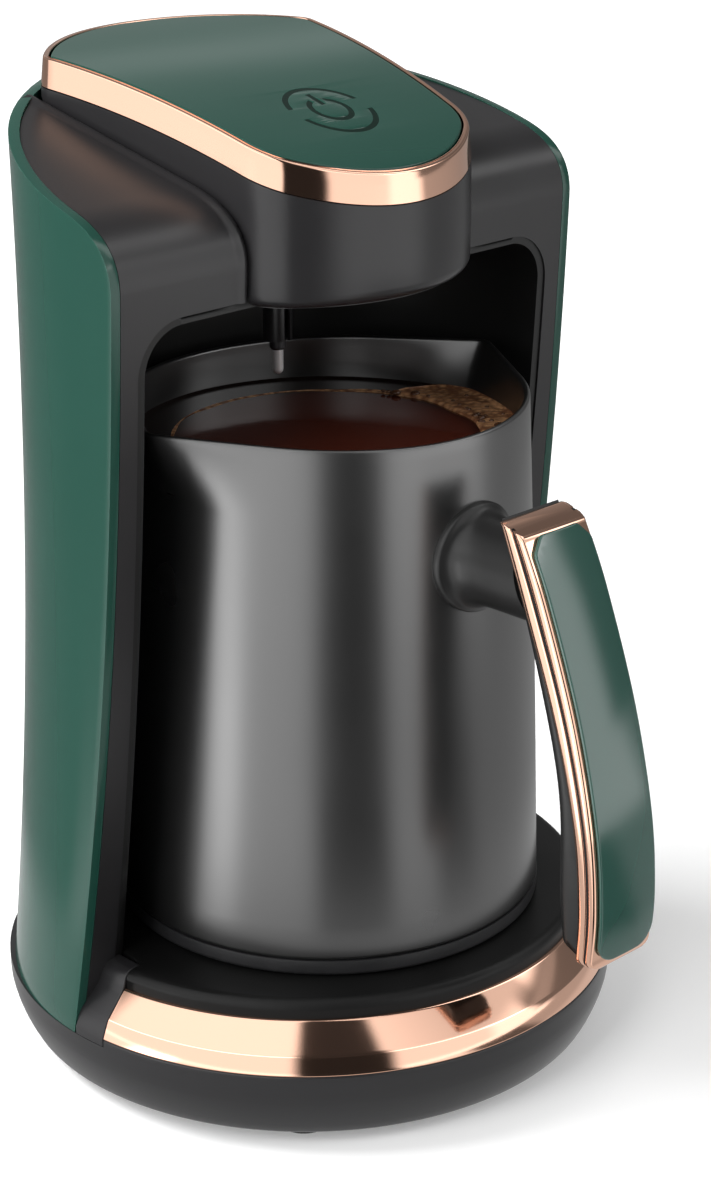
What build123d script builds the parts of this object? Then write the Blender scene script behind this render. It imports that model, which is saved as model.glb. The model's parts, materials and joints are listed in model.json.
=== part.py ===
from build123d import *
import os
from math import atan2, cos, degrees, radians, sin, sqrt

# An electric coffee maker for one small jug.  Millimetres, +Z up, the front is -Y.
# Everything is drawn about the jug's upright axis, and shifted once, when it is
# written, so that the origin lies under the middle of the whole part's box.

# ---- widths that the base, tower and bay share --------------------------------
tower_mid_half = 69.9        # the tower's half width, halfway up
low_flare = 2.6              # how much wider it is at its seat
top_taper = 0.7              # how much narrower it is at the top
tower_low_half = tower_mid_half + low_flare
tower_top_half = tower_mid_half - top_taper
panel_wall = 2.4
panel_gap = 0.15
liner_wall = 2.0
leg_width = 5.2              # housing left beside the bay, at the front

# ---- base -------------------------------------------------------------------
foot_height = 3.2            # the base shell's lower edge stands this high
foot_radius = 7.0
foot_circle = 57.0           # the four feet stand on this circle
foot_edge = 0.6
base_y = 6.7                 # the round base is centred this far behind the jug
base_step = 0.1              # the base stands this far outside the tower
base_undercut = 4.1
base_radius = tower_low_half + base_step
base_bottom_radius = base_radius - base_undercut
base_wall = 2.4
base_bulge_z = 14.0          # height where the base shell reaches its full radius
tower_seat_z = 18.2          # the tower stands on the base shell here
band_bottom_z = 20.0
band_crease_z = 24.3
band_lower_lean = 1.6        # how far the band's lower facet leans in
band_upper_lean = 5.1
band_crease_radius = base_radius - band_lower_lean
band_top_z = 30.4
band_top_radius = band_crease_radius - band_upper_lean
band_wall = 1.8
band_end_y = -2.0            # the band runs round the front, between the two legs
cover_thickness = 2.2
cover_gap = 0.3
seat_flange = 2.0            # inward flange that the tower stands on
seat_lip = 0.6               # flange left inside the tower's wall
toe_gap = 0.3

# ---- deck that the jug stands on ---------------------------------------------
deck_z = 34.7
deck_thickness = 3.0
deck_reveal = 0.5            # the deck stands this far inside the band's top
deck_radius = band_top_radius - deck_reveal
deck_edge = 2.4              # rounding of the deck's top edge
deck_skirt = 2.2
deck_post_radius = 4.0
deck_post_x = 42.0
deck_post_front_y = -15.0
deck_post_rear_y = 24.0
deck_screw_radius = 1.5
deck_gap = 0.3               # clearance between the jug and the deck

bay_roof_z = 182.3

# ---- tower ---------------------------------------------------------------------
tower_mid_z = 118.0
tower_top_z = 236.0          # sections are drawn to here, then trimmed
tower_rear_step = 3.3        # the base stands this far behind the rear wall
tower_low_rear = base_y + base_radius - tower_rear_step   # the rear wall at three heights
tower_mid_rear = 64.6
tower_top_rear = 63.4
tower_low_y = 6.7            # where the straight sides turn into the rear curve
tower_mid_y = 3.0
tower_top_y = 5.0
front_low_y = 7.8            # front face at the seat
front_mid_y = -3.0
front_mid_z = 95.0
front_top_y = -10.0
roof_to_roll = 8.7
front_top_z = bay_roof_z + roof_to_roll
shoulder_y = 4.0
roll_height = 15.6           # the front face rolls over into the shoulder
shoulder_z = front_top_z + roll_height
shoulder_rise = 0.305        # rise per millimetre towards the rear
spare = 30.0                 # tools and blocks run this far past what they cut
housing_wall = 2.1
panel_edge = 1.0             # rounding of the side panels' outer edge
bay_edge = 0.8               # rounding round the mouth of the bay
skin_tolerance = 0.12
rear_cover_half = 30.0
service_half = 24.0          # opening behind the rear cover
service_low_z = 66.0
service_high_z = 176.0

# ---- bay for the jug --------------------------------------------------------------
bay_half = tower_mid_half - panel_wall - panel_gap - leg_width - liner_wall - panel_gap
service_shaft = 4.95         # room for wires between the liner and the rear wall
bay_depth = tower_mid_rear - panel_wall - panel_gap - housing_wall - service_shaft - liner_wall
bay_corner = 10.0
liner_low_z = 24.0

# ---- head and cap --------------------------------------------------------------------
cap_radius = 262.0           # the cap is crowned front to back on this radius
cap_crown_y = 75.0
cap_rise = 23.8              # the cap's highest line above the front of the shoulder
cap_crown_z = shoulder_z + cap_rise
plate_front_y = -26.0
plate_flank_front = (29.7, -12.6)
plate_flank_rear = (38.3, 46.5)
plate_rear_y = 64.4
plate_nose_blend = 14.0
plate_rear_blend = 3.0
plate_thickness = 2.6
plate_edge_gap = 0.4
ring_wall = 1.9
ring_height = 6.5
head_wall = 2.3
nose_edge = 3.0              # rounding of the nose's lower edge
icon_y = -1.5
icon_radius = 10.4
icon_line = 1.3
icon_gap = 4.6
icon_depth = 0.4
underside_rear_y = 34.0
underside_thickness = 2.0
underside_screw_x = 22.0
underside_screw_y = 26.0
head_rear_y = 48.0           # below the tower's top line the head ends here

# ---- press plate hinge and switch -------------------------------------------------------
hinge_y = 53.0
hinge_drop = 5.0             # pin centre below the cap's surface
hinge_pin_radius = 1.0
hinge_pin_half = 16.0
hinge_clearance = 0.05
hinge_ear = 3.0              # thickness of each ear
hinge_ear_x = 11.0
hinge_knuckle = 2.6
hinge_post = 2.4
switch_size = 6.0
switch_height = 3.6
plunger_radius = 1.75
plunger_drop = 2.2           # plunger's top below the plate's underside
plunger_travel = 1.0
board_thickness = 1.6
board_half = 24.0
board_front_y = -16.0
board_rear_y = 38.0
board_lift = 19.7            # the control board above the bay's roof
board_z = bay_roof_z + board_lift
post_radius = 2.6
board_screw_radius = 1.2

# ---- foam probe ---------------------------------------------------------------------------
probe_y = 16.0
probe_reach = 25.9           # how far the tip hangs below the bay's roof
probe_tip_z = bay_roof_z - probe_reach
probe_radius = 1.25
probe_sleeve_radius = 1.9
probe_sleeve_z = probe_tip_z + 5.9
probe_guard_radius = 3.3
probe_guard_wall = 0.7
probe_guard_z = probe_sleeve_z + 2.3

# ---- jug ----------------------------------------------------------------------------------------
jug_bottom_z = deck_z + deck_gap
jug_ring_height = 3.7
jug_groove = 0.6
jug_low_radius = 49.7
jug_mid_radius = 48.0
jug_mid_z = 90.0
jug_rim_radius = 45.4
jug_rim_z = 155.5
jug_wall = 1.4
jug_floor_z = 47.0           # inside bottom
spout_reach = 53.0
spout_tip_radius = 3.6
spout_start_z = 141.0
spout_rise = 1.9             # the rim climbs this much to each spout
heater_thickness = 2.0
element_radius = 31.0
element_tube = 3.2
thermostat_radius = 11.0
jug_ring_wall = 2.2

# ---- rear connector ---------------------------------------------------------------------------------
plug_half = 14.0
plug_z = 48.5
plug_half_height = 7.0
plug_face_y = bay_depth - 0.6
pin_radius = 2.0
pin_pitch = 8.5
pin_reach = 7.5
socket_half = 16.6
socket_half_height = 9.6
socket_face_y = bay_depth + 0.2
socket_depth = 10.5
socket_window_gap = 0.3
socket_bore_gap = 0.06
contact_wall = 0.8

# ---- jug handle: heights and reaches of its layers ---------------------------------------------------
handle_half = 10.0
handle_top_z = 143.0
handle_bottom_z = 47.6
grip_half = 9.0
grip_line = [(-60.4, 141.5), (-66.6, 125.0), (-73.3, 105.0), (-78.6, 82.0), (-79.4, 62.0), (-80.5, 52.5)]
frame_line = [(-61.6, 143.0), (-68.6, 126.0), (-78.0, 102.5), (-84.2, 80.0), (-86.2, 62.0), (-86.2, 50.0)]
panel_line = [(-68.2, 141.0), (-74.7, 127.5), (-83.6, 103.5), (-89.4, 80.0), (-91.2, 62.0), (-90.6, 50.0)]
panel_proud = 1.6            # the outer panel stands this far off its frame
panel_inset = 1.3            # frame left showing round the panel
panel_low_inset = 2.6         # frame left showing below the panel
panel_high_inset = 3.0
panel_corner = 4.5
frame_edge = 0.9
grip_edge = 2.5
arm_half = 9.0
arm_edge = 8.0               # rounding along the arm
arm_root = 12.0              # the arm starts this far inside the grip
arm_low_z = 118.5
arm_high_z = 138.5
handle_gap = 0.1
handle_screw_heights = (66.0, 108.0)

# ---- small screws --------------------------------------------------------------------------------------
screw_head_radius = 2.4
screw_head_height = 1.0
screw_shank_radius = 1.2
screw_sink = 0.8
screw_fit = 0.1              # clearance round a screw

# ---- base electrics and mains lead bush ---------------------------------------------------------------
power_board_z = 11.0
power_board_half = 32.0
power_board_front = 10.0
power_board_rear = 58.0
gland_z = 11.0
gland_radius = 5.0
gland_bore = 3.3
gland_flange = 6.4
gland_proud = 1.5
gland_length = 10.0
gland_fit = 0.1
harness_radius = 0.8
harness_gap = 0.3
harness_x = 27.0
harness_bend = 5.0

# ---- worked out from the above -------------------------------------------------------------------------
base_rear = base_y + base_radius + gland_proud
handle_front = min(y for y, z in panel_line) - panel_proud
centre_y = (base_rear + handle_front) / 2
far = 10 * base_radius


def half_plane(y_low=-far, y_high=far, z_low=-far, z_high=far, x_low=-far, x_high=far):
    "A large box used to keep or remove one side of a shape."
    size = (x_high - x_low, y_high - y_low, z_high - z_low)
    middle = ((x_high + x_low) / 2, (y_high + y_low) / 2, (z_high + z_low) / 2)
    return Pos(*middle) * Box(*size)


def prism(face, z_low, z_high):
    return extrude(Pos(0, 0, z_low) * face, z_high - z_low, dir=(0, 0, 1))


def rod(x, y, z_low, z_high, radius):
    return Pos(x, y, (z_low + z_high) / 2) * Cylinder(radius, z_high - z_low)


def rod_y(x, y_low, y_high, z, radius):
    return Pos(x, (y_low + y_high) / 2, z) * Rot(90, 0, 0) * Cylinder(radius, y_high - y_low)


def turned(points, y=0.0, full=360.0):
    "Revolves a closed outline of (radius, z) points about an upright axis."
    outline = make_face(Polyline(*[(r, 0, z) for r, z in points], close=True))
    return Pos(0, y, 0) * revolve(outline, Axis.Z, full)


def side_slab(outline_wire, half):
    "Extrudes an outline drawn in the Y-Z plane to both sides."
    return extrude(make_face(outline_wire), half, dir=(1, 0, 0), both=True)


# ---- tower ------------------------------------------------------------------------------------------------
def through(z, knots):
    "Smooth value at height z through three (height, value) knots."
    (z0, v0), (z1, v1), (z2, v2) = knots
    return (v0 * (z - z1) * (z - z2) / ((z0 - z1) * (z0 - z2))
            + v1 * (z - z0) * (z - z2) / ((z1 - z0) * (z1 - z2))
            + v2 * (z - z0) * (z - z1) / ((z2 - z0) * (z2 - z1)))


def tower_knots(low, middle, high):
    return [(tower_seat_z, low), (tower_mid_z, middle), (tower_top_z, high)]


def tower_numbers(z, inset):
    half = through(z, tower_knots(tower_low_half, tower_mid_half, tower_top_half)) - inset
    turn = through(z, tower_knots(tower_low_y, tower_mid_y, tower_top_y))
    rear = through(z, tower_knots(tower_low_rear, tower_mid_rear, tower_top_rear)) - inset
    return half, turn, rear


def tower_plan(z, inset):
    "D-shaped plan of the tower: straight sides and an elliptical rear."
    half, turn, rear = tower_numbers(z, inset)
    front = plate_front_y - spare
    sides = Polyline((half, turn), (half, front), (-half, front), (-half, turn))
    back = EllipticalCenterArc((0, turn), half, rear - turn, start_angle=0, arc_size=180)
    return Pos(0, 0, z) * make_face([sides, back])


def tower_column(inset):
    heights = [tower_seat_z, (tower_seat_z + tower_mid_z) / 2, tower_mid_z,
               (tower_mid_z + tower_top_z) / 2, tower_top_z]
    return loft([tower_plan(z, inset) for z in heights])


def rear_y(x, z, inset=0.0):
    "Where the tower's rear surface is at a given width and height."
    half, turn, rear = tower_numbers(z, inset)
    return turn + (rear - turn) * sqrt(1 - (x / half) ** 2)


def front_y(z):
    knots = [(tower_seat_z, front_low_y), (front_mid_z, front_mid_y), (front_top_z, front_top_y)]
    return through(z, knots)


def tower_side(front_inset, top_inset):
    "Side view of the tower as a slab: leaning front, rolled shoulder, rising top."
    low_z = foot_height
    top = shoulder_z - top_inset
    face = [(0, front_y(z) + front_inset, z) for z in (low_z, front_mid_z, front_top_z)]
    shoulder = (0, shoulder_y + front_inset, top)
    end_y = tower_low_rear + spare
    lean = Spline(*face)
    roll = Spline(face[-1], shoulder, tangents=[lean % 1, Vector(0, 1, shoulder_rise)])
    back = Polyline(shoulder, (0, end_y, top + shoulder_rise * (end_y - shoulder_y)), (0, end_y, low_z), face[0])
    return side_slab([lean, roll, back], base_radius + spare)


def bay_plan(grow):
    half, depth = bay_half + grow, bay_depth + grow
    sides = Polyline((half, 0), (half, plate_front_y), (-half, plate_front_y), (-half, 0))
    back = EllipticalCenterArc((0, 0), half, depth, start_angle=0, arc_size=180)
    return make_face([sides, back])


def bay(grow, low_z):
    "The jug's bay: straight sides, elliptical back, rounded roof."
    block = prism(bay_plan(grow), low_z, bay_roof_z + grow)
    roof_edges = block.faces().sort_by(Axis.Z)[-1].edges()
    front = roof_edges.sort_by(Axis.Y)[0]
    return fillet([e for e in roof_edges if e.center() != front.center()], bay_corner + grow)


def build_panels():
    skin = ((tower_column(0) - tower_column(panel_wall)) & tower_side(0, 0)) - cap_room()
    side_cut = half_plane(y_low=base_y, x_low=-rear_cover_half - panel_gap, x_high=rear_cover_half + panel_gap)
    rear_strip = half_plane(y_low=base_y, x_low=-rear_cover_half + panel_gap, x_high=rear_cover_half - panel_gap)
    left = rim_rounded((skin & half_plane(x_high=0)) - side_cut)
    right = rim_rounded((skin & half_plane(x_low=0)) - side_cut)
    rear = skin & rear_strip
    screws = []
    for x, z in rear_screws():
        y = rear_y(x, z)
        rear -= rod_y(x, y - screw_sink - screw_head_height, y + 10, z, screw_head_radius + 0.1)
        rear -= rod_y(x, y - 10, y, z, screw_shank_radius + 0.05)
        screws.append(rod_y(x, y - screw_sink - screw_head_height, y - screw_sink, z, screw_head_radius)
                      + rod_y(x, y - 8, y - screw_sink - screw_head_height, z, screw_shank_radius))
    return left, right, rear, Compound(screws)


def on_skin(point):
    "Whether a point lies on the tower's outside."
    half, turn, rear = tower_numbers(point.Z, 0)
    if point.Y <= turn:
        return abs(abs(point.X) - half) < skin_tolerance
    if abs(point.X) >= half:
        return False
    return abs(point.Y - rear_y(point.X, point.Z)) < skin_tolerance


def rim_rounded(panel):
    "Rounds a side panel's outer edge at the front and along the top."
    rim = []
    for edge in panel.edges():
        middle = edge @ 0.5
        outside = all(on_skin(edge @ t) for t in (0.1, 0.5, 0.9))
        joint = abs(middle.X) < rear_cover_half + 1 or middle.Z < tower_seat_z + 1
        if outside and not joint:
            rim.append(edge)
    return fillet(rim, panel_edge)


def rear_screws():
    x = service_half
    return [(side * x, z) for side in (-1, 1) for z in (service_low_z - 12, service_high_z + 12)]


def build_housing():
    inset = panel_wall + panel_gap
    core = tower_column(inset) & tower_side(0, 0)
    hollow = tower_column(inset + housing_wall) & tower_side(housing_wall, housing_wall)
    housing = core - hollow
    bay_cut = bay(liner_wall + panel_gap, foot_height)
    housing -= bay_cut + cap_room()
    housing -= head_column(ring_wall + panel_gap, -panel_gap, head_rear_y + panel_gap, bay_roof_z - 1)
    housing -= half_plane(y_low=base_y, x_low=-service_half + 6, x_high=service_half - 6,
                          z_low=service_low_z, z_high=service_high_z)
    for x, z in rear_screws():
        housing -= rod_y(x, rear_y(x, z) - 12, rear_y(x, z), z, screw_shank_radius + 0.05)
    for side in (-1, 1):
        foot = toe(side)
        foot -= tower_side(-panel_gap, 0) - tower_column(inset)
        foot -= bay_cut & tower_side(0.4 - panel_gap, 0)
        housing += foot
    return mouth_rounded(housing)


def mouth_rounded(housing):
    "Rounds the housing's edge up both sides of the bay's mouth."
    edge_x = bay_half + liner_wall + panel_gap
    corner_x = bay_half - bay_corner
    rim = []
    for edge in housing.edges():
        middle = edge @ 0.5
        on_face = abs(middle.Y - front_y(middle.Z)) < skin_tolerance + 0.1
        up_side = abs(abs(middle.X) - edge_x) < skin_tolerance
        in_corner = corner_x < abs(middle.X) < edge_x and bay_roof_z - bay_corner < middle.Z < bay_roof_z + liner_wall
        if edge.length > bay_corner / 2 and on_face and (up_side or in_corner):
            rim.append(edge)
    return fillet(rim, bay_edge)


def toe(side):
    "Foot of a front leg, where it carries on the trim band's shape."
    inner = deck_radius - 10
    points = [(inner, tower_seat_z), (base_radius, tower_seat_z), (base_radius, band_bottom_z),
              (band_crease_radius, band_crease_z), (band_top_radius, band_top_z),
              (deck_radius, deck_z - deck_edge), (deck_radius - deck_edge, deck_z - 0.2), (inner, deck_z - 0.2)]
    ring = turned(points, base_y)
    near, wide = bay_half + toe_gap, base_radius + 5
    return ring & half_plane(y_low=band_end_y + toe_gap, y_high=front_low_y + 6,
                             x_low=min(side * near, side * wide), x_high=max(side * near, side * wide))


def cap_room():
    "What the cap's ring needs, with its clearance, above and around it."
    column = prism(cap_outline(ring_wall + panel_gap), bay_roof_z, cap_crown_z + spare)
    return column - below_cap(ring_height + panel_gap)


def build_liner():
    wall = (bay(liner_wall, liner_low_z) - bay(0, foot_height)) & tower_side(0.4, 0)
    wall -= prism(offset(underside_outline(), panel_gap), bay_roof_z - 1, bay_roof_z + 10)
    wall -= socket_block(socket_window_gap, bay_depth - 20, bay_depth + 20)
    return wall


# ---- base -----------------------------------------------------------------------------------------------------
def base_section(inset):
    "Half section of the base shell's outside, drawn inwards by inset."
    low, bulge = base_bottom_radius - inset, base_radius - inset
    rise = (base_bulge_z - foot_height) * 0.45
    curve = Spline((low, 0, foot_height), (low + (bulge - low) * 0.75, 0, foot_height + rise), (bulge, 0, base_bulge_z),
                   tangents=[Vector(1, 0, 1.2), Vector(0, 0, 1)])
    rest = Polyline((bulge, 0, base_bulge_z), (bulge, 0, tower_seat_z), (0, 0, tower_seat_z), (0, 0, foot_height),
                    (low, 0, foot_height))
    return Pos(0, base_y, 0) * revolve(make_face([curve, rest]), Axis.Z)


def build_base():
    seat_inner = tower_low_rear - tower_low_y - panel_wall - panel_gap - housing_wall - seat_lip
    shell = base_section(0) - (base_section(base_wall) & half_plane(z_high=tower_seat_z - seat_flange))
    shell -= rod(0, base_y, 0, deck_z, seat_inner)
    front = turned([(base_radius - base_wall, tower_seat_z), (base_radius, tower_seat_z),
                    (base_radius, band_bottom_z), (base_radius - base_wall, band_bottom_z)], base_y)
    shell += front & half_plane(y_high=band_end_y)
    shell -= rod_y(0, base_y, base_rear + spare, gland_z, gland_radius + gland_fit)

    cover_radius = base_bottom_radius - base_wall - cover_gap
    cover = rod(0, base_y, foot_height, foot_height + cover_thickness, cover_radius)
    feet, screws = [], []
    for angle in (45, 135, 225, 315):
        x, y = foot_circle * cos(radians(angle)), base_y + foot_circle * sin(radians(angle))
        foot = rod(x, y, 0, foot_height, foot_radius)
        feet.append(chamfer(foot.faces().sort_by(Axis.Z)[0].edges(), foot_edge))
    for x, y in deck_posts():
        cover -= rod(x, y, 0, deck_z, deck_screw_radius + screw_fit)
        screws.append(rod(x, y, foot_height - 1.2, foot_height, deck_screw_radius * 2)
                      + rod(x, y, foot_height, foot_height + 9, deck_screw_radius))
    for x, y in power_posts():
        cover += rod(x, y, foot_height + cover_thickness, power_board_z, 3)

    skin = base_rear - gland_proud + gland_fit / 2
    gland = rod_y(0, skin - gland_length, base_rear, gland_z, gland_radius)
    gland += rod_y(0, skin, base_rear, gland_z, gland_flange)
    gland -= rod_y(0, skin - gland_length - 1, base_rear + 1, gland_z, gland_bore)
    return shell, cover, Compound(feet), Compound(screws), gland


def deck_posts():
    return [(side * deck_post_x, y) for side in (-1, 1) for y in (deck_post_front_y, deck_post_rear_y)]


def power_posts():
    return [(side * (power_board_half - 5), y) for side in (-1, 1) for y in (power_board_front + 5, power_board_rear - 5)]


def build_deck():
    drum = rod(0, base_y, band_top_z, deck_z, deck_radius)
    drum = fillet(drum.faces().sort_by(Axis.Z)[-1].edges(), deck_edge)
    front = drum & half_plane(y_high=band_end_y)
    rear = prism(bay_plan(-toe_gap), band_top_z, deck_z) & half_plane(y_low=band_end_y)
    deck = front + rear
    room = rod(0, base_y, band_top_z - 1, deck_z - deck_thickness, deck_radius - deck_skirt)
    room &= half_plane(y_high=band_end_y - deck_skirt) + prism(bay_plan(-toe_gap - deck_skirt), 0, deck_z - deck_thickness)
    deck -= room
    for x, y in deck_posts():
        deck += rod(x, y, foot_height + cover_thickness, deck_z - 1, deck_post_radius)
        deck -= rod(x, y, 0, foot_height + 10, deck_screw_radius + 0.05)
    return deck


def build_band():
    points = [(base_radius, band_bottom_z), (band_crease_radius, band_crease_z), (band_top_radius, band_top_z),
              (band_top_radius - band_wall, band_top_z), (band_top_radius - band_wall, band_top_z - 0.8),
              (band_crease_radius - band_wall, band_crease_z - 0.8), (base_radius - band_wall - 0.4, band_bottom_z)]
    return turned(points, base_y) & half_plane(y_high=band_end_y)


def build_power_electrics():
    board = Pos(0, (power_board_front + power_board_rear) / 2, power_board_z + board_thickness / 2) * Box(
        2 * power_board_half, power_board_rear - power_board_front, board_thickness)
    top = power_board_z + board_thickness
    relay = Pos(-14, power_board_front + 12, top + 7) * Box(18, 13, 14)
    terminal = Pos(12, power_board_rear - 8, top + 5) * Box(22, 9, 10)
    for n in (-1, 0, 1):
        terminal -= Pos(12 + n * 7, power_board_rear - 8, top + 8) * Cylinder(1.8, 6)
    return board, relay, terminal


# ---- cap ----------------------------------------------------------------------------------------------------
def cap_outline(offset_by):
    "Outline of the press plate, wide and bowed at the rear, round at the nose."
    fx, fy = plate_flank_front
    rx, ry = plate_flank_rear
    nose = ThreePointArc((fx, fy), (0, plate_front_y), (-fx, fy))
    left = Line((-fx, fy), (-rx, ry))
    rear = ThreePointArc((-rx, ry), (0, plate_rear_y), (rx, ry))
    right = Line((rx, ry), (fx, fy))
    face = make_face([nose, left, rear, right])
    corners = face.vertices().sort_by(Axis.Y)
    face = fillet(corners[:2], plate_nose_blend)
    corners = face.vertices().sort_by(Axis.Y)
    face = fillet(corners[-2:], plate_rear_blend)
    return offset(face, offset_by) if offset_by else face


def below_cap(drop):
    "Everything below the crowned cap surface, lowered by drop."
    centre_z = cap_crown_z - cap_radius
    return Pos(0, cap_crown_y, centre_z) * Rot(0, 90, 0) * Cylinder(cap_radius - drop, 2 * far)


def cap_z(y):
    return cap_crown_z - cap_radius + sqrt(cap_radius ** 2 - (y - cap_crown_y) ** 2)


def cap_layer(outline, top_drop, bottom_drop):
    "A plate that follows the crowned surface between two depths."
    column = prism(outline, bay_roof_z, cap_crown_z + 5)
    return (column & below_cap(top_drop)) - below_cap(bottom_drop)


def underside_outline():
    inside = offset(cap_outline(0), ring_wall - head_wall - panel_gap)
    return inside & (Pos(0, underside_rear_y - far, 0) * Rectangle(2 * far, 2 * far))


def icon_mark(top_drop, bottom_drop):
    "A plain power symbol: a broken ring round an open ring with a stem."
    outer = Circle(icon_radius) - Circle(icon_radius - icon_line)
    outer -= Rectangle(3 * icon_radius, icon_gap)
    small = icon_radius * 0.5
    inner = Circle(small) - Circle(small - icon_line)
    inner -= Pos(0, small) * Rectangle(icon_gap * 0.8, small)
    stem = Pos(0, small * 0.9) * Rectangle(icon_line, small)
    mark = outer + inner + stem
    return cap_layer(Pos(0, icon_y) * mark, top_drop, bottom_drop)


def pin_z():
    return cap_z(hinge_y) - hinge_drop


def plunger_top():
    return cap_z(icon_y) - plate_thickness - plunger_drop


def build_plate():
    plate = cap_layer(cap_outline(-plate_edge_gap), 0, plate_thickness)
    plate = fillet(plate.faces().sort_by(Axis.Z)[-1].edges(), 0.5)
    plate -= icon_mark(-1, icon_depth)
    for side in (-1, 1):
        x = side * hinge_ear_x
        ear = Pos(x, hinge_y, 0) * prism(Rectangle(hinge_ear, 2 * hinge_knuckle), pin_z(), cap_crown_z)
        knuckle = Pos(x, hinge_y, pin_z()) * Rot(0, 90, 0) * Cylinder(hinge_knuckle, hinge_ear)
        plate += (ear & below_cap(plate_thickness - 0.2)) + knuckle
    plate -= Pos(0, hinge_y, pin_z()) * Rot(0, 90, 0) * Cylinder(hinge_pin_radius + hinge_clearance, far)
    boss = prism(Pos(0, icon_y) * Circle(3.0), plunger_top() + 0.05, cap_crown_z)
    return plate + (boss & below_cap(plate_thickness - 0.2))


def build_ring():
    ring = cap_layer(cap_outline(ring_wall), 0, ring_height)
    ring = fillet(ring.faces().sort_by(Axis.Z)[-1].edges(), 0.6)
    return ring - prism(cap_outline(0), bay_roof_z, cap_crown_z + 20)


def head_column(offset_by, clear, rear, low_z):
    "The cap's outline as a column; inside the tower it ends at a flat rear."
    column = prism(cap_outline(offset_by), low_z, cap_crown_z + 20)
    return column - (tower_side(-clear, -clear) & half_plane(y_low=rear))


def build_head():
    outer = prism(cap_outline(ring_wall), bay_roof_z, cap_crown_z + 5) & below_cap(ring_height)
    outer = fillet(outer.faces().sort_by(Axis.Z)[0].edges(), nose_edge)
    outer &= head_column(ring_wall + 1, panel_gap, head_rear_y, foot_height)
    inner = head_column(ring_wall - head_wall, panel_gap + head_wall, head_rear_y - head_wall, bay_roof_z - 1)
    shell = outer - (inner & below_cap(ring_height + head_wall))
    shell -= half_plane(y_low=front_y(bay_roof_z), z_high=bay_roof_z + liner_wall + panel_gap)
    shell -= rod(0, icon_y, bay_roof_z, cap_crown_z, switch_size / 2 + 0.6)
    wire_x = harness_x + (harness_end()[0] - harness_x) * 0.25
    shell -= rod_y(wire_x, head_rear_y - 8, head_rear_y + 8, harness_top(), 3.5)
    for side in (-1, 1):
        slot = Pos(side * hinge_ear_x, hinge_y, pin_z()) * Box(hinge_ear + 1, 2 * hinge_knuckle + 2, 2 * hinge_knuckle + 2)
        shell -= slot
        x = side * (hinge_pin_half - hinge_post / 2)
        post = prism(Rectangle(hinge_post, 6), pin_z() - hinge_drop, pin_z() + 1.7)
        shell += Pos(x, hinge_y, 0) * post - (tower_side(-panel_gap, -panel_gap) & half_plane(y_low=head_rear_y))
    shell -= Pos(0, hinge_y, pin_z()) * Rot(0, 90, 0) * Cylinder(hinge_pin_radius + 0.02, 2 * hinge_pin_half + 0.2)
    for x, y in board_posts():
        shell += rod(x, y, board_z + board_thickness, cap_crown_z, post_radius) & below_cap(ring_height + head_wall - 0.3)
        shell -= rod(x, y, board_z, board_z + 6, board_screw_radius + 0.05)
    return shell


def board_posts():
    inset = 4.0
    return [(side * (board_half - inset), y) for side in (-1, 1) for y in (board_front_y + inset, board_rear_y - inset)]


def build_underside():
    cover = prism(underside_outline(), bay_roof_z, bay_roof_z + underside_thickness)
    cover -= rod(0, probe_y, bay_roof_z - 1, bay_roof_z + 10, probe_guard_radius + 0.1)
    screws = []
    for side in (-1, 1):
        x, y = side * underside_screw_x, underside_screw_y
        cover -= rod(x, y, bay_roof_z - 1, bay_roof_z + screw_head_height, screw_head_radius + 0.1)
        cover -= rod(x, y, bay_roof_z - 1, bay_roof_z + 10, screw_shank_radius + 0.05)
        screws.append(rod(x, y, bay_roof_z + 0.2, bay_roof_z + screw_head_height, screw_head_radius)
                      + rod(x, y, bay_roof_z + screw_head_height, bay_roof_z + 8, screw_shank_radius))
    return cover, Compound(screws)


def build_control():
    middle = (board_front_y + board_rear_y) / 2
    board = Pos(0, middle, board_z + board_thickness / 2) * Box(2 * board_half, board_rear_y - board_front_y, board_thickness)
    screws = []
    for x, y in board_posts():
        board -= rod(x, y, board_z - 1, board_z + 5, board_screw_radius + 0.1)
        screws.append(rod(x, y, board_z - 1, board_z, 2 * board_screw_radius)
                      + rod(x, y, board_z, board_z + 4, board_screw_radius))
    top = board_z + board_thickness
    guide_top = plunger_top() - plunger_travel - 0.4
    switch = Pos(0, icon_y, top + switch_height / 2) * Box(switch_size, switch_size, switch_height)
    switch += rod(0, icon_y, top, guide_top, plunger_radius + 1)
    well = top + 0.8
    switch -= rod(0, icon_y, well, guide_top + 1, plunger_radius + hinge_clearance)
    plunger = rod(0, icon_y, well + plunger_travel + 0.1, plunger_top(), plunger_radius)
    buzzer = rod(-12, 20, top, top + 5, 6) - rod(-12, 20, top + 3, top + 6, 1)
    led = rod(12, icon_y, top, top + 2.5, 1.5) + Pos(12, icon_y, top + 2.5) * Sphere(1.5)
    return board, Compound(screws), switch, plunger, buzzer, led


def build_pin():
    return Pos(0, hinge_y, pin_z()) * Rot(0, 90, 0) * Cylinder(hinge_pin_radius, 2 * hinge_pin_half)


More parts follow.
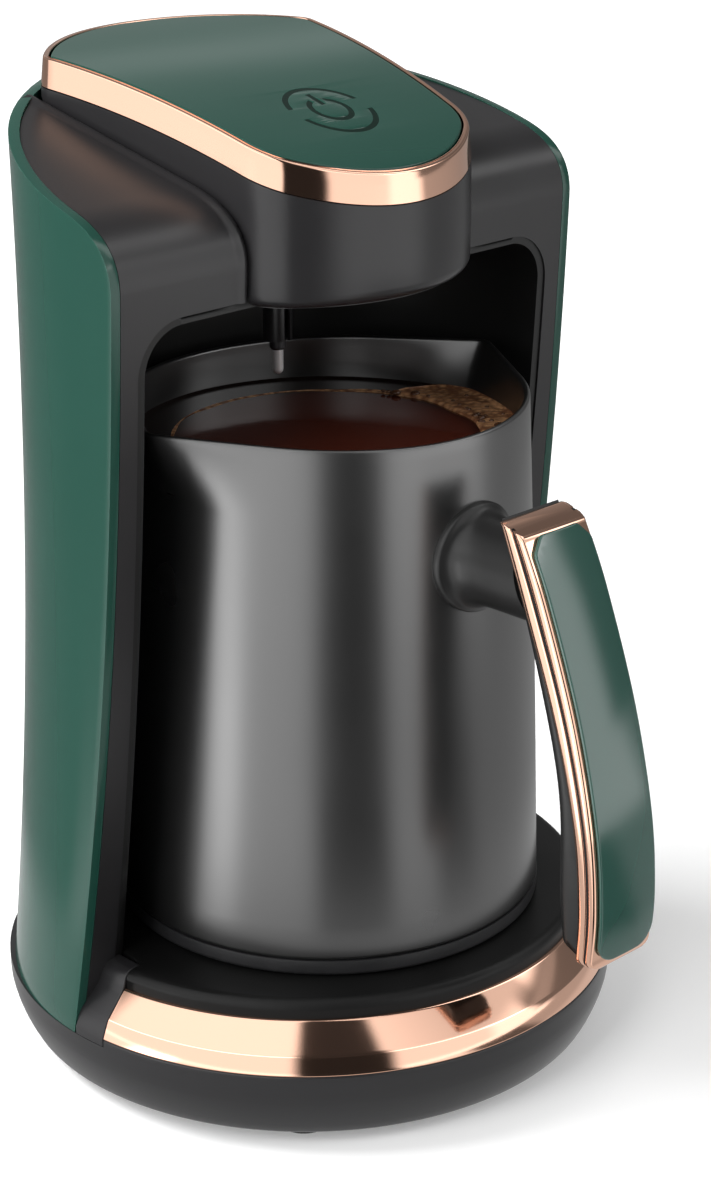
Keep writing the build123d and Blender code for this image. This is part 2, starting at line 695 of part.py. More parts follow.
# ---- foam probe -----------------------------------------------------------------------------------------------
def build_probe():
    top = bay_roof_z + underside_thickness
    inner = probe_guard_radius - probe_guard_wall
    guard = turned([(inner, probe_guard_z), (probe_guard_radius, probe_guard_z), (probe_guard_radius, top),
                    (probe_guard_radius + 2.5, top), (probe_guard_radius + 2.5, top + 1.5), (inner, top + 1.5)], probe_y)
    slot = Pos(0, probe_y - probe_guard_radius, (probe_guard_z + bay_roof_z - 4) / 2) * Box(
        1.8, 2 * probe_guard_wall + 1, bay_roof_z - 4 - probe_guard_z + 1)
    guard -= slot
    sleeve = turned([(probe_radius, probe_sleeve_z + 0.5), (probe_radius + 0.3, probe_sleeve_z),
                     (probe_sleeve_radius - 0.3, probe_sleeve_z), (probe_sleeve_radius, probe_sleeve_z + 0.5),
                     (probe_sleeve_radius, top - 2.5), (inner, top - 2.5), (inner, top + 1.5), (probe_radius, top + 1.5)],
                    probe_y)
    pin = rod(0, probe_y, probe_tip_z + probe_radius, top + 4, probe_radius)
    pin += Pos(0, probe_y, probe_tip_z + probe_radius) * Sphere(probe_radius)
    return guard, sleeve, pin


# ---- connector ---------------------------------------------------------------------------------------------------
def socket_block(gap, y_low, y_high):
    return half_plane(y_low=y_low, y_high=y_high, x_low=-socket_half - gap, x_high=socket_half + gap,
                      z_low=plug_z - socket_half_height - gap, z_high=plug_z + socket_half_height + gap)


def pin_places():
    return [-pin_pitch, 0.0, pin_pitch]


def build_socket():
    rear = socket_face_y + socket_depth
    block = socket_block(0, socket_face_y, rear)
    block = fillet(block.edges().filter_by(Axis.Y), 2.5)
    flange_y = bay_depth + liner_wall + 0.1
    block += half_plane(y_low=flange_y, y_high=flange_y + 2, x_low=-socket_half - 5, x_high=socket_half + 5,
                        z_low=plug_z - socket_half_height - 3, z_high=plug_z + socket_half_height + 3)
    contacts = []
    for x in pin_places():
        block -= rod_y(x, socket_face_y - 1, rear - 1.5, plug_z, pin_radius + socket_bore_gap + contact_wall)
        tube = rod_y(x, socket_face_y + 1, rear - 1.5, plug_z, pin_radius + socket_bore_gap + contact_wall)
        tube -= rod_y(x, socket_face_y, rear - 2.5, plug_z, pin_radius + socket_bore_gap)
        contacts.append(tube)
    return block, Compound(contacts)


# ---- jug ------------------------------------------------------------------------------------------------------------
def jug_radius(z):
    knots = [(jug_bottom_z, jug_low_radius), (jug_mid_z, jug_mid_radius), (jug_rim_z, jug_rim_radius)]
    return through(z, knots)


def jug_barrel(inset, low_z):
    "The jug's round part up to where the spouts begin."
    heights = [low_z, (low_z + jug_mid_z) / 2, jug_mid_z, (jug_mid_z + spout_start_z) / 2, spout_start_z]
    side = Spline(*[(jug_radius(z) - inset, 0, z) for z in heights])
    rest = Polyline(side @ 1, (0, 0, spout_start_z), (0, 0, low_z), side @ 0)
    return revolve(make_face([side, rest]), Axis.Z)


def lip_ring(radius, reach, tip, z):
    "A circle drawn out to a small rounded tip on each side."
    turn = degrees(atan2(sqrt((reach - tip) ** 2 - (radius - tip) ** 2), radius - tip))
    edges = []
    for start in (0, 180):
        axis = 1 if start == 0 else -1
        edges.append(CenterArc((axis * (reach - tip), 0), tip, start - turn, 2 * turn))
    edges.append(CenterArc((0, 0), radius, turn, 180 - 2 * turn))
    edges.append(CenterArc((0, 0), radius, 180 + turn, 180 - 2 * turn))
    for sx in (-1, 1):
        for sy in (-1, 1):
            c, s = cos(radians(turn)), sin(radians(turn))
            edges.append(Line((sx * (reach - tip + tip * c), sy * tip * s), (sx * radius * c, sy * radius * s)))
    return Pos(0, 0, z) * make_face(edges)


def round_ring(radius, turn, z):
    "The same number of edges as lip_ring, all on one circle."
    cuts = [-turn * 0.4, turn * 0.4, turn, 180 - turn, 180 - turn * 0.4, 180 + turn * 0.4, 180 + turn, 360 - turn,
            360 - turn * 0.4]
    edges = [CenterArc((0, 0), radius, a, b - a) for a, b in zip(cuts, cuts[1:])]
    return Pos(0, 0, z) * make_face(edges)


def jug_lip(inset):
    "The jug's top part, which opens into a spout on each side."
    top = jug_rim_z + spout_rise + 3
    radius, tip = jug_rim_radius - inset, spout_tip_radius - inset
    reach = spout_reach - inset
    grow = (top - spout_start_z) / (jug_rim_z - spout_start_z)
    low = jug_radius(spout_start_z) - inset
    wide = low + (reach - low) * grow
    turn = degrees(atan2(sqrt((reach - tip) ** 2 - (radius - tip) ** 2), radius - tip))
    return loft([round_ring(low, turn, spout_start_z), lip_ring(jug_radius(top) - inset, wide, tip, top)], ruled=True)


def rim_cut():
    radius = spout_reach ** 2 / (2 * spout_rise)
    return Pos(0, 0, jug_rim_z + radius) * Rot(90, 0, 0) * Cylinder(radius, 2 * far)


def build_jug():
    low = jug_bottom_z + jug_ring_height + jug_groove
    outer = jug_barrel(0, low) + jug_lip(0)
    inner = jug_barrel(jug_wall, jug_floor_z)
    inner = fillet(inner.faces().sort_by(Axis.Z)[0].edges(), 4)
    under = rod(0, 0, 0, jug_floor_z - jug_wall, jug_radius(low) - jug_wall)
    body = outer - inner - jug_lip(jug_wall) - under
    body -= rim_cut()
    step = jug_radius(low) - 1.2
    body += rod(0, 0, low - jug_groove, low + 2, step) - rod(0, 0, 0, low + 5, step - 1.6 + jug_wall / 2)
    ring_top = jug_bottom_z + jug_ring_height
    ring = rod(0, 0, jug_bottom_z, ring_top, jug_low_radius)
    ring = fillet(ring.faces().sort_by(Axis.Z)[0].edges(), 1.0)
    ring -= rod(0, 0, 0, 100, jug_low_radius - jug_ring_wall)
    cover = rod(0, 0, jug_bottom_z + 0.4, jug_bottom_z + 2, jug_low_radius - jug_ring_wall - 0.1)
    plate_top = jug_floor_z - jug_wall
    plate = rod(0, 0, plate_top - heater_thickness, plate_top, element_radius + 7)
    element_z = plate_top - heater_thickness - element_tube * 0.5
    element = Pos(0, 0, element_z) * (Torus(element_radius, element_tube * 0.5)
                                      - Pos(0, element_radius, 0) * Box(12, 14, 8))
    stat = rod(0, 0, jug_bottom_z + 2.2, plate_top - heater_thickness, thermostat_radius)
    return body, ring, cover, plate, element, stat


def build_plug():
    block = half_plane(x_low=-plug_half, x_high=plug_half, y_low=30, y_high=plug_face_y,
                       z_low=plug_z - plug_half_height, z_high=plug_z + plug_half_height)
    block = fillet(block.edges().filter_by(Axis.Y), 2)
    block -= rod(0, 0, 0, 100, jug_low_radius)
    pins = []
    for x in pin_places():
        pin = rod_y(x, plug_face_y, plug_face_y + pin_reach - pin_radius, plug_z, pin_radius)
        pins.append(pin + Pos(x, plug_face_y + pin_reach - pin_radius, plug_z) * Sphere(pin_radius))
    return block, Compound(pins)


# ---- jug handle -------------------------------------------------------------------------------------------------------
def side_band(near, away, half):
    "A strip between two side-view curves, extruded to both sides."
    first = Spline(*[(0, y, z) for y, z in near])
    last = Spline(*[(0, y, z) for y, z in away])
    return side_slab([first, Line(first @ 1, last @ 1), last, Line(last @ 0, first @ 0)], half)


def shifted(line, dy, dz=0.0):
    return [(y + dy, z + dz) for y, z in line]


def side_edges(band):
    "The long edges of a handle layer, and those across its ends."
    return [e for e in band.edges() if e.length > handle_half - 1 and abs((e @ 0.5).X) > 0.1]


def front_edges(band):
    "The two long edges that the fingers meet."
    long_ones = [e for e in band.edges() if e.length > 4 * grip_half and abs((e @ 0.5).X) > 0.1]
    return sorted(long_ones, key=lambda e: -(e @ 0.5).Y)[:2]


def panel_face():
    "Front view of the outer panel, with rounded corners, as a block."
    low, high = handle_bottom_z + panel_low_inset, handle_top_z - panel_high_inset
    width = 2 * (handle_half - panel_inset)
    face = fillet(Rectangle(width, high - low).vertices(), panel_corner)
    return Pos(0, -base_radius, (low + high) / 2) * extrude(Rot(90, 0, 0) * face, spare, both=True)


def build_handle():
    frame = side_band(frame_line, panel_line, handle_half)
    frame = fillet(side_edges(frame), frame_edge)
    inner = side_band(grip_line, shifted(frame_line, handle_gap), grip_half)
    inner = fillet(front_edges(inner), grip_edge)
    panel = side_band(shifted(panel_line, -0.02), shifted(panel_line, -panel_proud), handle_half - panel_inset)
    panel &= panel_face()
    arm = half_plane(x_low=-arm_half, x_high=arm_half, y_low=grip_line[0][0] - arm_root, y_high=-jug_mid_radius / 2,
                     z_low=arm_low_z, z_high=arm_high_z)
    arm = fillet(arm.edges().filter_by(Axis.Y), arm_edge)
    arm -= jug_barrel(0, jug_bottom_z)
    arm -= side_band(grip_line, shifted(grip_line, -spare), base_radius)
    screws = []
    for z in handle_screw_heights:
        y = grip_y(z)
        inner -= rod_y(0, y - 1.4, y + 5, z, screw_head_radius + 0.1)
        inner -= rod_y(0, y - 12, y, z, screw_shank_radius + 0.05)
        frame -= rod_y(0, y - 8.5, y, z, screw_shank_radius + 0.05)
        screws.append(rod_y(0, y - 1.4, y - 0.4, z, screw_head_radius) + rod_y(0, y - 8.4, y - 1.4, z, screw_shank_radius))
    return frame, inner, panel, arm, Compound(screws)


def grip_y(z):
    spots = sorted(grip_line, key=lambda p: p[1])
    for (y0, z0), (y1, z1) in zip(spots, spots[1:]):
        if z0 <= z <= z1:
            return y0 + (y1 - y0) * (z - z0) / (z1 - z0)
    return spots[-1][0]


# ---- wiring between the two boards ----------------------------------------------------------------------------------------
def harness_top():
    return board_z - harness_radius - 0.2


def harness_end():
    return board_half - 10, board_rear_y - 4, harness_top()


def build_harness():
    liner_rear = (bay_depth + liner_wall) * sqrt(1 - (harness_x / (bay_half + liner_wall)) ** 2)
    shaft = liner_rear + harness_radius + harness_gap
    low = power_board_z + board_thickness + harness_radius + 0.2
    path = FilletPolyline((harness_x, power_board_rear - 14, low), (harness_x, shaft, low),
                          (harness_x, shaft, harness_top()), harness_end(), radius=harness_bend)
    section = Plane(origin=path @ 0, z_dir=path % 0) * Circle(harness_radius)
    return sweep(section, path=path)


left_panel, right_panel, rear_cover, rear_cover_screws = build_panels()
base_shell, bottom_cover, rubber_feet, base_screws, cord_gland = build_base()
power_board, power_relay, power_terminal = build_power_electrics()
underside_cover, head_screws = build_underside()
control_board, board_screws, tact_switch, switch_plunger, buzzer, indicator_led = build_control()
probe_guard, probe_sleeve, probe_pin = build_probe()
jug_socket, socket_contacts = build_socket()
jug_body, jug_base_ring, jug_base_cover, heater_plate, heating_element, thermostat = build_jug()
jug_plug, plug_pins = build_plug()
handle_frame, handle_inner_shell, handle_outer_panel, handle_arm, handle_screws = build_handle()

nodes = {
    "base_shell": base_shell,
    "base_bottom_cover": bottom_cover,
    "rubber_feet": rubber_feet,
    "base_screws": base_screws,
    "tray_deck": build_deck(),
    "front_trim_band": build_band(),
    "cord_gland": cord_gland,
    "power_board": power_board,
    "power_relay": power_relay,
    "power_terminal": power_terminal,
    "left_side_panel": left_panel,
    "right_side_panel": right_panel,
    "rear_cover": rear_cover,
    "rear_cover_screws": rear_cover_screws,
    "front_housing": build_housing(),
    "bay_liner": build_liner(),
    "head_shell": build_head(),
    "head_underside_cover": underside_cover,
    "head_screws": head_screws,
    "cap_trim_ring": build_ring(),
    "power_plate": build_plate(),
    "power_icon": icon_mark(0.05, icon_depth),
    "plate_hinge_pin": build_pin(),
    "tact_switch": tact_switch,
    "switch_plunger": switch_plunger,
    "control_board": control_board,
    "board_screws": board_screws,
    "buzzer": buzzer,
    "indicator_led": indicator_led,
    "probe_guard": probe_guard,
    "probe_sleeve": probe_sleeve,
    "probe_pin": probe_pin,
    "wire_harness": build_harness(),
    "jug_socket": jug_socket,
    "socket_contacts": socket_contacts,
    "jug_body": jug_body,
    "jug_base_ring": jug_base_ring,
    "jug_base_cover": jug_base_cover,
    "heater_plate": heater_plate,
    "heating_element": heating_element,
    "thermostat": thermostat,
    "jug_plug": jug_plug,
    "plug_pins": plug_pins,
    "handle_arm": handle_arm,
    "handle_inner_shell": handle_inner_shell,
    "handle_frame": handle_frame,
    "handle_outer_panel": handle_outer_panel,
    "handle_screws": handle_screws,
}

os.makedirs("parts", exist_ok=True)
for name, shape in nodes.items():
    export_step(Pos(0, -centre_y, 0) * shape, "parts/" + name + ".step")
print("pieces", len(nodes), "centre_y", round(centre_y, 3))
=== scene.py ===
import bpy
import bmesh
import json
import random
from math import acos, asin, atan2, cos, pi, radians, sin, sqrt
from mathutils import Matrix, Vector


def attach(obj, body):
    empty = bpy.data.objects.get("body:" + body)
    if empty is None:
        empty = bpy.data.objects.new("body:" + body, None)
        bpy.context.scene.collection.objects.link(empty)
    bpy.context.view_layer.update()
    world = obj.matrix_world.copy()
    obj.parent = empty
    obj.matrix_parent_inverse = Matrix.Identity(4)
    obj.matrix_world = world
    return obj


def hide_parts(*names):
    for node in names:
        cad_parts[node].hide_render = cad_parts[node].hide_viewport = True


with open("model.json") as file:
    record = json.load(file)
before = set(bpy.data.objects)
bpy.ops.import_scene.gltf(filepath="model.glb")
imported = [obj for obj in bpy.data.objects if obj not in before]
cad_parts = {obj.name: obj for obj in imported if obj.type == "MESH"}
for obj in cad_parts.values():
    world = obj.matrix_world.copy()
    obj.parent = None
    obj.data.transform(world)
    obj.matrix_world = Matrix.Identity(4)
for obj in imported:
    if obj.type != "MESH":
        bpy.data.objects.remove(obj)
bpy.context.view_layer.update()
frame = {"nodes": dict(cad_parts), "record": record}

# A one-jug coffee maker. Sizes are millimetres about the jug's axis,
# and at() turns them into the frame's metres.
nodes = frame["nodes"]
scene = bpy.context.scene
jugAxisY = 6.0          # the jug's axis stands this far behind the frame's origin
jugAxis = Vector((0, jugAxisY / 1000, 0))
weld = {"piece": 0.00001, "fine": 0.000001, "copy": 0.000004}          # metres


def at(x, y, z):
    return Vector((x, y + jugAxisY, z)) / 1000


def mix(a, b, t):
    return a + (b - a) * t


def smoothStep(t):
    t = min(1.0, max(0.0, t))
    return t * t * (3 - 2 * t)


def through(knots, place):
    # the parabola through three (place, value) knots
    (a, fa), (b, fb), (c, fc) = knots
    return (fa * (place - b) * (place - c) / ((a - b) * (a - c))
            + fb * (place - a) * (place - c) / ((b - a) * (b - c))
            + fc * (place - a) * (place - b) / ((c - a) * (c - b)))


def quarterTurns(count):
    return [pi / 2 * i / count for i in range(count + 1)]


print("stage: materials")


def addNode(tree, kind, inputs=None, **settings):
    # values are set on the node's sockets, and sockets of other nodes are linked
    node = tree.nodes.new("ShaderNode" + kind)
    for key, value in settings.items():
        setattr(node, key, value)
    for key, value in (inputs or {}).items():
        if isinstance(value, bpy.types.NodeSocket):
            tree.links.new(value, node.inputs[key])
        else:
            node.inputs[key].default_value = value
    return node


def newGroup(name, inputs, outputs):
    group = bpy.data.node_groups.new(name, "ShaderNodeTree")
    for label, kind in inputs:
        group.interface.new_socket(label, in_out="INPUT", socket_type="NodeSocket" + kind)
    for label, kind in outputs:
        group.interface.new_socket(label, in_out="OUTPUT", socket_type="NodeSocket" + kind)
    return group, group.nodes.new("NodeGroupInput").outputs, group.nodes.new("NodeGroupOutput").inputs


def newMaterial(name, settings):
    mat = bpy.data.materials.new(name)
    mat.use_nodes = True
    shader = mat.node_tree.nodes["Principled BSDF"]
    for socket, value in settings.items():
        shader.inputs[socket].default_value = value
    return mat, mat.node_tree, shader


def blendTone(tree, share, dark, light):
    return addNode(tree, "Mix", {"Factor": share, "A": (*dark, 1), "B": (*light, 1)}, data_type="RGBA")


def feedShader(tree, shader, tone, rough, bump):
    tree.links.new(tone.outputs["Result"], shader.inputs["Base Color"])
    tree.links.new(rough.outputs["Result"], shader.inputs["Roughness"])
    tree.links.new(bump.outputs["Normal"], shader.inputs["Normal"])


mould = {"fineDetail": 2.0, "slowScale": 22.0, "slowDetail": 3.0, "patch": (0.3, 0.7), "bumpDepth": 0.0001}


def buildMouldGrain():
    # fine moulded texture over a slow waviness, and the waviness alone as a patch
    group, given, out = newGroup("mouldGrain", [("Vector", "Vector"), ("Scale", "Float"), ("Wave", "Float")],
                                 [("Height", "Float"), ("Patch", "Float")])
    fine = addNode(group, "TexNoise", {"Vector": given["Vector"], "Scale": given["Scale"],
                                       "Detail": mould["fineDetail"]})
    slow = addNode(group, "TexNoise", {"Vector": given["Vector"], "Scale": mould["slowScale"],
                                       "Detail": mould["slowDetail"]})
    swell = addNode(group, "Math", {0: slow.outputs["Fac"], 1: given["Wave"], 2: fine.outputs["Fac"]},
                    operation="MULTIPLY_ADD")
    group.links.new(swell.outputs[0], out["Height"])
    group.links.new(slow.outputs["Fac"], out["Patch"])
    return group


mouldGrain = buildMouldGrain()


def surfaceMaterial(name, look):
    mat, tree, shader = newMaterial(name, look.get("set", {}))
    (low, high), (smooth, dull), (scale, wave, strength) = mould["patch"], look["rough"], look["grain"]
    place = addNode(tree, "TexCoord").outputs["Object"]
    grain = addNode(tree, "Group", {"Vector": place, "Scale": scale, "Wave": wave}, node_tree=mouldGrain)
    tone = blendTone(tree, grain.outputs["Patch"], *look["tone"])
    rough = addNode(tree, "MapRange", {"Value": grain.outputs["Patch"], "From Min": low, "From Max": high,
                                       "To Min": smooth, "To Max": dull})
    bump = addNode(tree, "Bump", {"Height": grain.outputs["Height"], "Strength": strength,
                                  "Distance": mould["bumpDepth"]})
    feedShader(tree, shader, tone, rough, bump)
    return mat


# tone: two colours that mix in patches; grain: its scale, the waviness and the bump
finishes = {
    "charcoal_plastic": {"tone": ((0.013, 0.013, 0.014), (0.018, 0.017, 0.018)), "rough": (0.28, 0.35),
        "grain": (2600.0, 0.2, 0.12), "set": {"Specular IOR Level": 0.42}},
    "green_gloss": {"tone": ((0.011, 0.051, 0.037), (0.013, 0.057, 0.042)), "rough": (0.14, 0.17),
        "grain": (160.0, 0.5, 0.008), "set": {"Specular IOR Level": 0.35}},
    # a lighter mint for the panels' rounded edges: a painted highlight along them
    "greenEdgeHighlight": {"tone": ((0.085, 0.25, 0.195), (0.095, 0.27, 0.21)), "rough": (0.16, 0.2),
        "grain": (160.0, 0.5, 0.008), "set": {"Specular IOR Level": 0.9}},
    "greenHandle": {"tone": ((0.012, 0.06, 0.045), (0.014, 0.066, 0.05)), "rough": (0.13, 0.16),
        "grain": (160.0, 0.5, 0.008), "set": {"Specular IOR Level": 1.0}},
    "probeSteel": {"tone": ((0.8, 0.8, 0.81), (0.9, 0.9, 0.91)), "rough": (0.22, 0.32),
        "grain": (2400.0, 0.2, 0.03), "set": {"Metallic": 0.5}},
    "rose_gold": {"tone": ((0.86, 0.52, 0.38), (0.89, 0.55, 0.41)), "rough": (0.07, 0.1),
        "grain": (1200.0, 0.2, 0.012), "set": {"Metallic": 1.0}},
    "jug_black": {"tone": ((0.007, 0.007, 0.007), (0.01, 0.01, 0.01)), "rough": (0.27, 0.31),
        "grain": (3000.0, 0.15, 0.04), "set": {"Specular IOR Level": 1.0, "IOR": 1.7}},
    "handleBlack": {"tone": ((0.01, 0.01, 0.01), (0.014, 0.014, 0.014)), "rough": (0.3, 0.36),
        "grain": (2600.0, 0.2, 0.08), "set": {"Specular IOR Level": 0.38}},
    # the bay liner's black, darker than the housing's charcoal: painted shade in the bay
    "bayBlackPaintedShade": {"tone": ((0.008, 0.008, 0.008), (0.011, 0.011, 0.011)), "rough": (0.34, 0.42),
        "grain": (2400.0, 0.2, 0.1), "set": {"Specular IOR Level": 0.3}},
    # the deck's own black, also used as painted shade in the handle's groove
    "deckBlackAndGrooveShade": {"tone": ((0.004, 0.004, 0.004), (0.006, 0.006, 0.006)), "rough": (0.38, 0.46),
        "grain": (2400.0, 0.2, 0.1), "set": {"Specular IOR Level": 0.22}},
    "jug_base_black": {"tone": ((0.014, 0.014, 0.015), (0.019, 0.019, 0.02)), "rough": (0.3, 0.4),
        "grain": (2200.0, 0.2, 0.08), "set": {"Specular IOR Level": 0.8}},
    "rubber_black": {"tone": ((0.01, 0.01, 0.01), (0.017, 0.017, 0.017)), "rough": (0.6, 0.75),
        "grain": (1800.0, 0.3, 0.25), "set": {"Specular IOR Level": 0.3}},
    "steel": {"tone": ((0.55, 0.55, 0.56), (0.65, 0.65, 0.66)), "rough": (0.16, 0.26),
        "grain": (2400.0, 0.2, 0.05), "set": {"Metallic": 1.0}},
    "aluminium_plate": {"tone": ((0.66, 0.66, 0.67), (0.75, 0.75, 0.76)), "rough": (0.3, 0.42),
        "grain": (1500.0, 0.4, 0.12), "set": {"Metallic": 1.0}},
    "board_green": {"tone": ((0.02, 0.1, 0.05), (0.03, 0.14, 0.07)), "rough": (0.25, 0.4),
        "grain": (900.0, 0.5, 0.1)},
    "component_black": {"tone": ((0.015, 0.015, 0.017), (0.024, 0.024, 0.026)), "rough": (0.35, 0.5),
        "grain": (2000.0, 0.2, 0.1)},
    "brass_contact": {"tone": ((0.66, 0.49, 0.2), (0.76, 0.58, 0.26)), "rough": (0.2, 0.3),
        "grain": (1500.0, 0.3, 0.05), "set": {"Metallic": 1.0}},
    "icon_ink": {"tone": ((0.002, 0.01, 0.007), (0.003, 0.013, 0.009)), "rough": (0.35, 0.45),
        "grain": (1500.0, 0.3, 0.05), "set": {"Specular IOR Level": 0.12}},
    "led_lens": {"tone": ((0.72, 0.7, 0.62), (0.85, 0.83, 0.75)), "rough": (0.1, 0.2),
        "grain": (900.0, 0.3, 0.05)},
    "wire_sleeve": {"tone": ((0.012, 0.012, 0.013), (0.02, 0.02, 0.021)), "rough": (0.5, 0.65),
        "grain": (1500.0, 0.3, 0.15)},
    "coffeeBubble": {"tone": ((0.05, 0.02, 0.01), (0.11, 0.05, 0.026)), "rough": (0.05, 0.12),
        "grain": (900.0, 0.4, 0.03)},
}
materials = {name: surfaceMaterial(name, look) for name, look in finishes.items()}

for entry in frame["record"]["subparts"]:          # every carried-over node gets its finish
    part = nodes[entry["node"]]
    part.data.materials.clear()
    part.data.materials.append(materials[entry["material_slot"]])
nodes["probe_pin"].data.materials[0] = materials["probeSteel"]


def finishPiece(name, bm, slot, body, stands=(), sharp=38, merge=weld["piece"], finish=None, outward=None):
    # cleans a mesh and hands it over as a piece that rides on a body; a sheet's faces look outward
    bmesh.ops.remove_doubles(bm, verts=bm.verts, dist=merge)
    bmesh.ops.recalc_face_normals(bm, faces=bm.faces)
    if outward:
        wrong = [face for face in bm.faces if face.normal.dot(Vector(outward)) < 0]
        bmesh.ops.reverse_faces(bm, faces=wrong)
    mesh = bpy.data.meshes.new(name)
    bm.to_mesh(mesh)
    bm.free()
    for face in mesh.polygons:
        face.use_smooth = True
    mesh.set_sharp_from_angle(angle=radians(sharp))
    mesh.materials.append(finish or materials[slot])
    piece = bpy.data.objects.new(name, mesh)
    scene.collection.objects.link(piece)
    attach(piece, body)
    if stands:
        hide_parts(*stands)
    return piece


def addModifier(piece, kind, **values):
    modifier = piece.modifiers.new(kind.lower(), kind)
    for key, value in values.items():
        setattr(modifier, key, value)


def roundEdges(piece, width, segments=4, above=50, **more):
    # a live bevel on the edges that turn by more than an angle
    addModifier(piece, "BEVEL", width=width / 1000, segments=segments, limit_method="ANGLE",
                angle_limit=radians(above), **more)


def giveWall(piece, wall, edge, segments=4, even=True, **more):
    # a sheet gets its wall on the inner side, and rounded edges
    addModifier(piece, "SOLIDIFY", thickness=wall / 1000, offset=-1, use_even_offset=even)
    roundEdges(piece, edge, segments, **more)


def evenShading(piece):
    addModifier(piece, "WEIGHTED_NORMAL", keep_sharp=True, weight=60)


def chainFrom(bm, points):
    # a closed outline of vertices
    verts = [bm.verts.new(p) for p in points]
    edges = [bm.edges.new(pair) for pair in zip(verts, verts[1:] + verts[:1])]
    return verts, edges


def softenCorners(bm, verts, offset, segments=4):
    bmesh.ops.bevel(bm, geom=verts, offset=offset / 1000, offset_type="OFFSET", segments=segments,
                    profile=0.5, affect="VERTICES", clamp_overlap=True, material=-1)


def cutAt(bm, place, away, clear=False):
    # cuts the mesh at a plane, and clears what lies beyond it if asked
    bmesh.ops.bisect_plane(bm, geom=bm.verts[:] + bm.edges[:] + bm.faces[:], dist=1e-7 if clear else 1e-6,
                           plane_co=place, plane_no=away, clear_outer=clear, clear_inner=False)


def closeHoles(bm):
    bmesh.ops.holes_fill(bm, edges=[e for e in bm.edges if len(e.link_faces) == 1], sides=0)


def addMirrored(bm):
    # the same shape on the other side of X
    bmesh.ops.mirror(bm, geom=bm.verts[:] + bm.edges[:] + bm.faces[:], matrix=Matrix(), merge_dist=-1.0,
                     axis="X")


def spinAbout(bm, axisY, sweep, steps, start):
    # spins a section about an upright axis, from a turned start
    middle = at(0, axisY, 0)
    if start:
        bmesh.ops.rotate(bm, verts=bm.verts, cent=middle, matrix=Matrix.Rotation(start, 3, "Z"))
    full = abs(sweep - 2 * pi) < 0.001
    bmesh.ops.spin(bm, geom=bm.verts[:] + bm.edges[:], cent=middle, axis=(0, 0, 1), dvec=(0, 0, 0),
                   angle=sweep, steps=steps, use_merge=full, use_normal_flip=False, use_duplicate=False)


def turnedPiece(name, outline, soften, slot, stands, steps, start=0.0, sweep=2 * pi, cutY=None):
    # spins a closed (radius, height) outline about the base's axis; soften rounds its numbered corners
    bm = bmesh.new()
    verts = chainFrom(bm, [at(0, base["axisY"], z) + Vector((r / 1000, 0, 0)) for r, z in outline])[0]
    for index, size in soften.items():
        softenCorners(bm, [verts[index]], size)
    spinAbout(bm, base["axisY"], sweep, steps, start)
    if cutY is not None:
        cutAt(bm, at(0, cutY, 0), (0, 1, 0), clear=True)
        bmesh.ops.remove_doubles(bm, verts=bm.verts, dist=weld["fine"])
        closeHoles(bm)
    finishPiece(name, bm, slot, "base", stands)


def growShape(bm, rows, place, joined=False):
    # rings of edges are laid on the first row and extruded to the others; place(vertex, row) says
    # where a vertex goes, and the two ends are filled, or joined to each other
    first = edges = bm.edges[:]
    for vert in bm.verts:
        vert.co = place(vert, rows[0])
    for row in rows[1:]:
        grown = bmesh.ops.extrude_edge_only(bm, edges=edges)["geom"]
        edges = [g for g in grown if isinstance(g, bmesh.types.BMEdge)]
        for vert in (g for g in grown if isinstance(g, bmesh.types.BMVert)):
            vert.co = place(vert, row)
    if joined:
        bmesh.ops.bridge_loops(bm, edges=first + edges)
    else:
        bmesh.ops.holes_fill(bm, edges=first + edges, sides=0)


def mergedCopy(node, name, slot, body, sharp=30, finish=None):
    # a welded copy of a node's mesh, so that it shades smoothly
    bm = bmesh.new()
    bm.from_mesh(nodes[node].data)
    bmesh.ops.remove_doubles(bm, verts=bm.verts, dist=weld["copy"])
    bmesh.ops.dissolve_degenerate(bm, edges=bm.edges, dist=weld["fine"])
    evenShading(finishPiece(name, bm, slot, body, [node], sharp, merge=weld["fine"], finish=finish))


print("stage: base")
base = {"axisY": 6.7, "footHeight": 3.2, "bottomRadius": 68.5, "radius": 72.6, "bulgeZ": 14.0, "seatZ": 18.2,
        "bandZ": 20.0, "wall": 2.4, "toe": (0.72, 8.2), "footRound": 1.4, "toeRound": 5.0, "holeRadius": 64.0,
        "seatWall": 2.0, "innerZ": 12.0, "lipGap": 0.05, "lipRound": 0.4, "steps": 160, "lipSteps": 128}
trim = {"crease": (71.0, 24.3), "top": (65.9, 30.4), "wall": 1.8, "endY": -2.0, "lap": 0.8, "tuck": 0.4,
        "rounds": {0: 0.35, 1: 0.5, 2: 0.5}, "steps": 192}


def buildBase():
    low, wide, wall = base["bottomRadius"], base["radius"], base["wall"]
    seat, hole, (toeOut, toeZ) = base["seatZ"], base["holeRadius"], base["toe"]
    under, top = seat - base["seatWall"], base["bandZ"] - base["lipGap"]
    outline = [(low, base["footHeight"]), (mix(low, wide, toeOut), toeZ), (wide, base["bulgeZ"]),
               (wide, seat), (hole, seat), (hole, under), (wide - wall, under), (wide - wall, base["innerZ"]),
               (low - wall, base["footHeight"])]
    turnedPiece("baseShell", outline, {0: base["footRound"], 1: base["toeRound"], 2: base["toeRound"]},
                "charcoal_plastic", ["base_shell"], base["steps"])
    ledge = [(wide - wall, seat), (wide, seat), (wide, top), (wide - wall, top)]
    turnedPiece("baseFrontLip", ledge, {2: base["lipRound"]}, "charcoal_plastic", [], base["lipSteps"],
                start=pi, sweep=pi, cutY=trim["endY"])


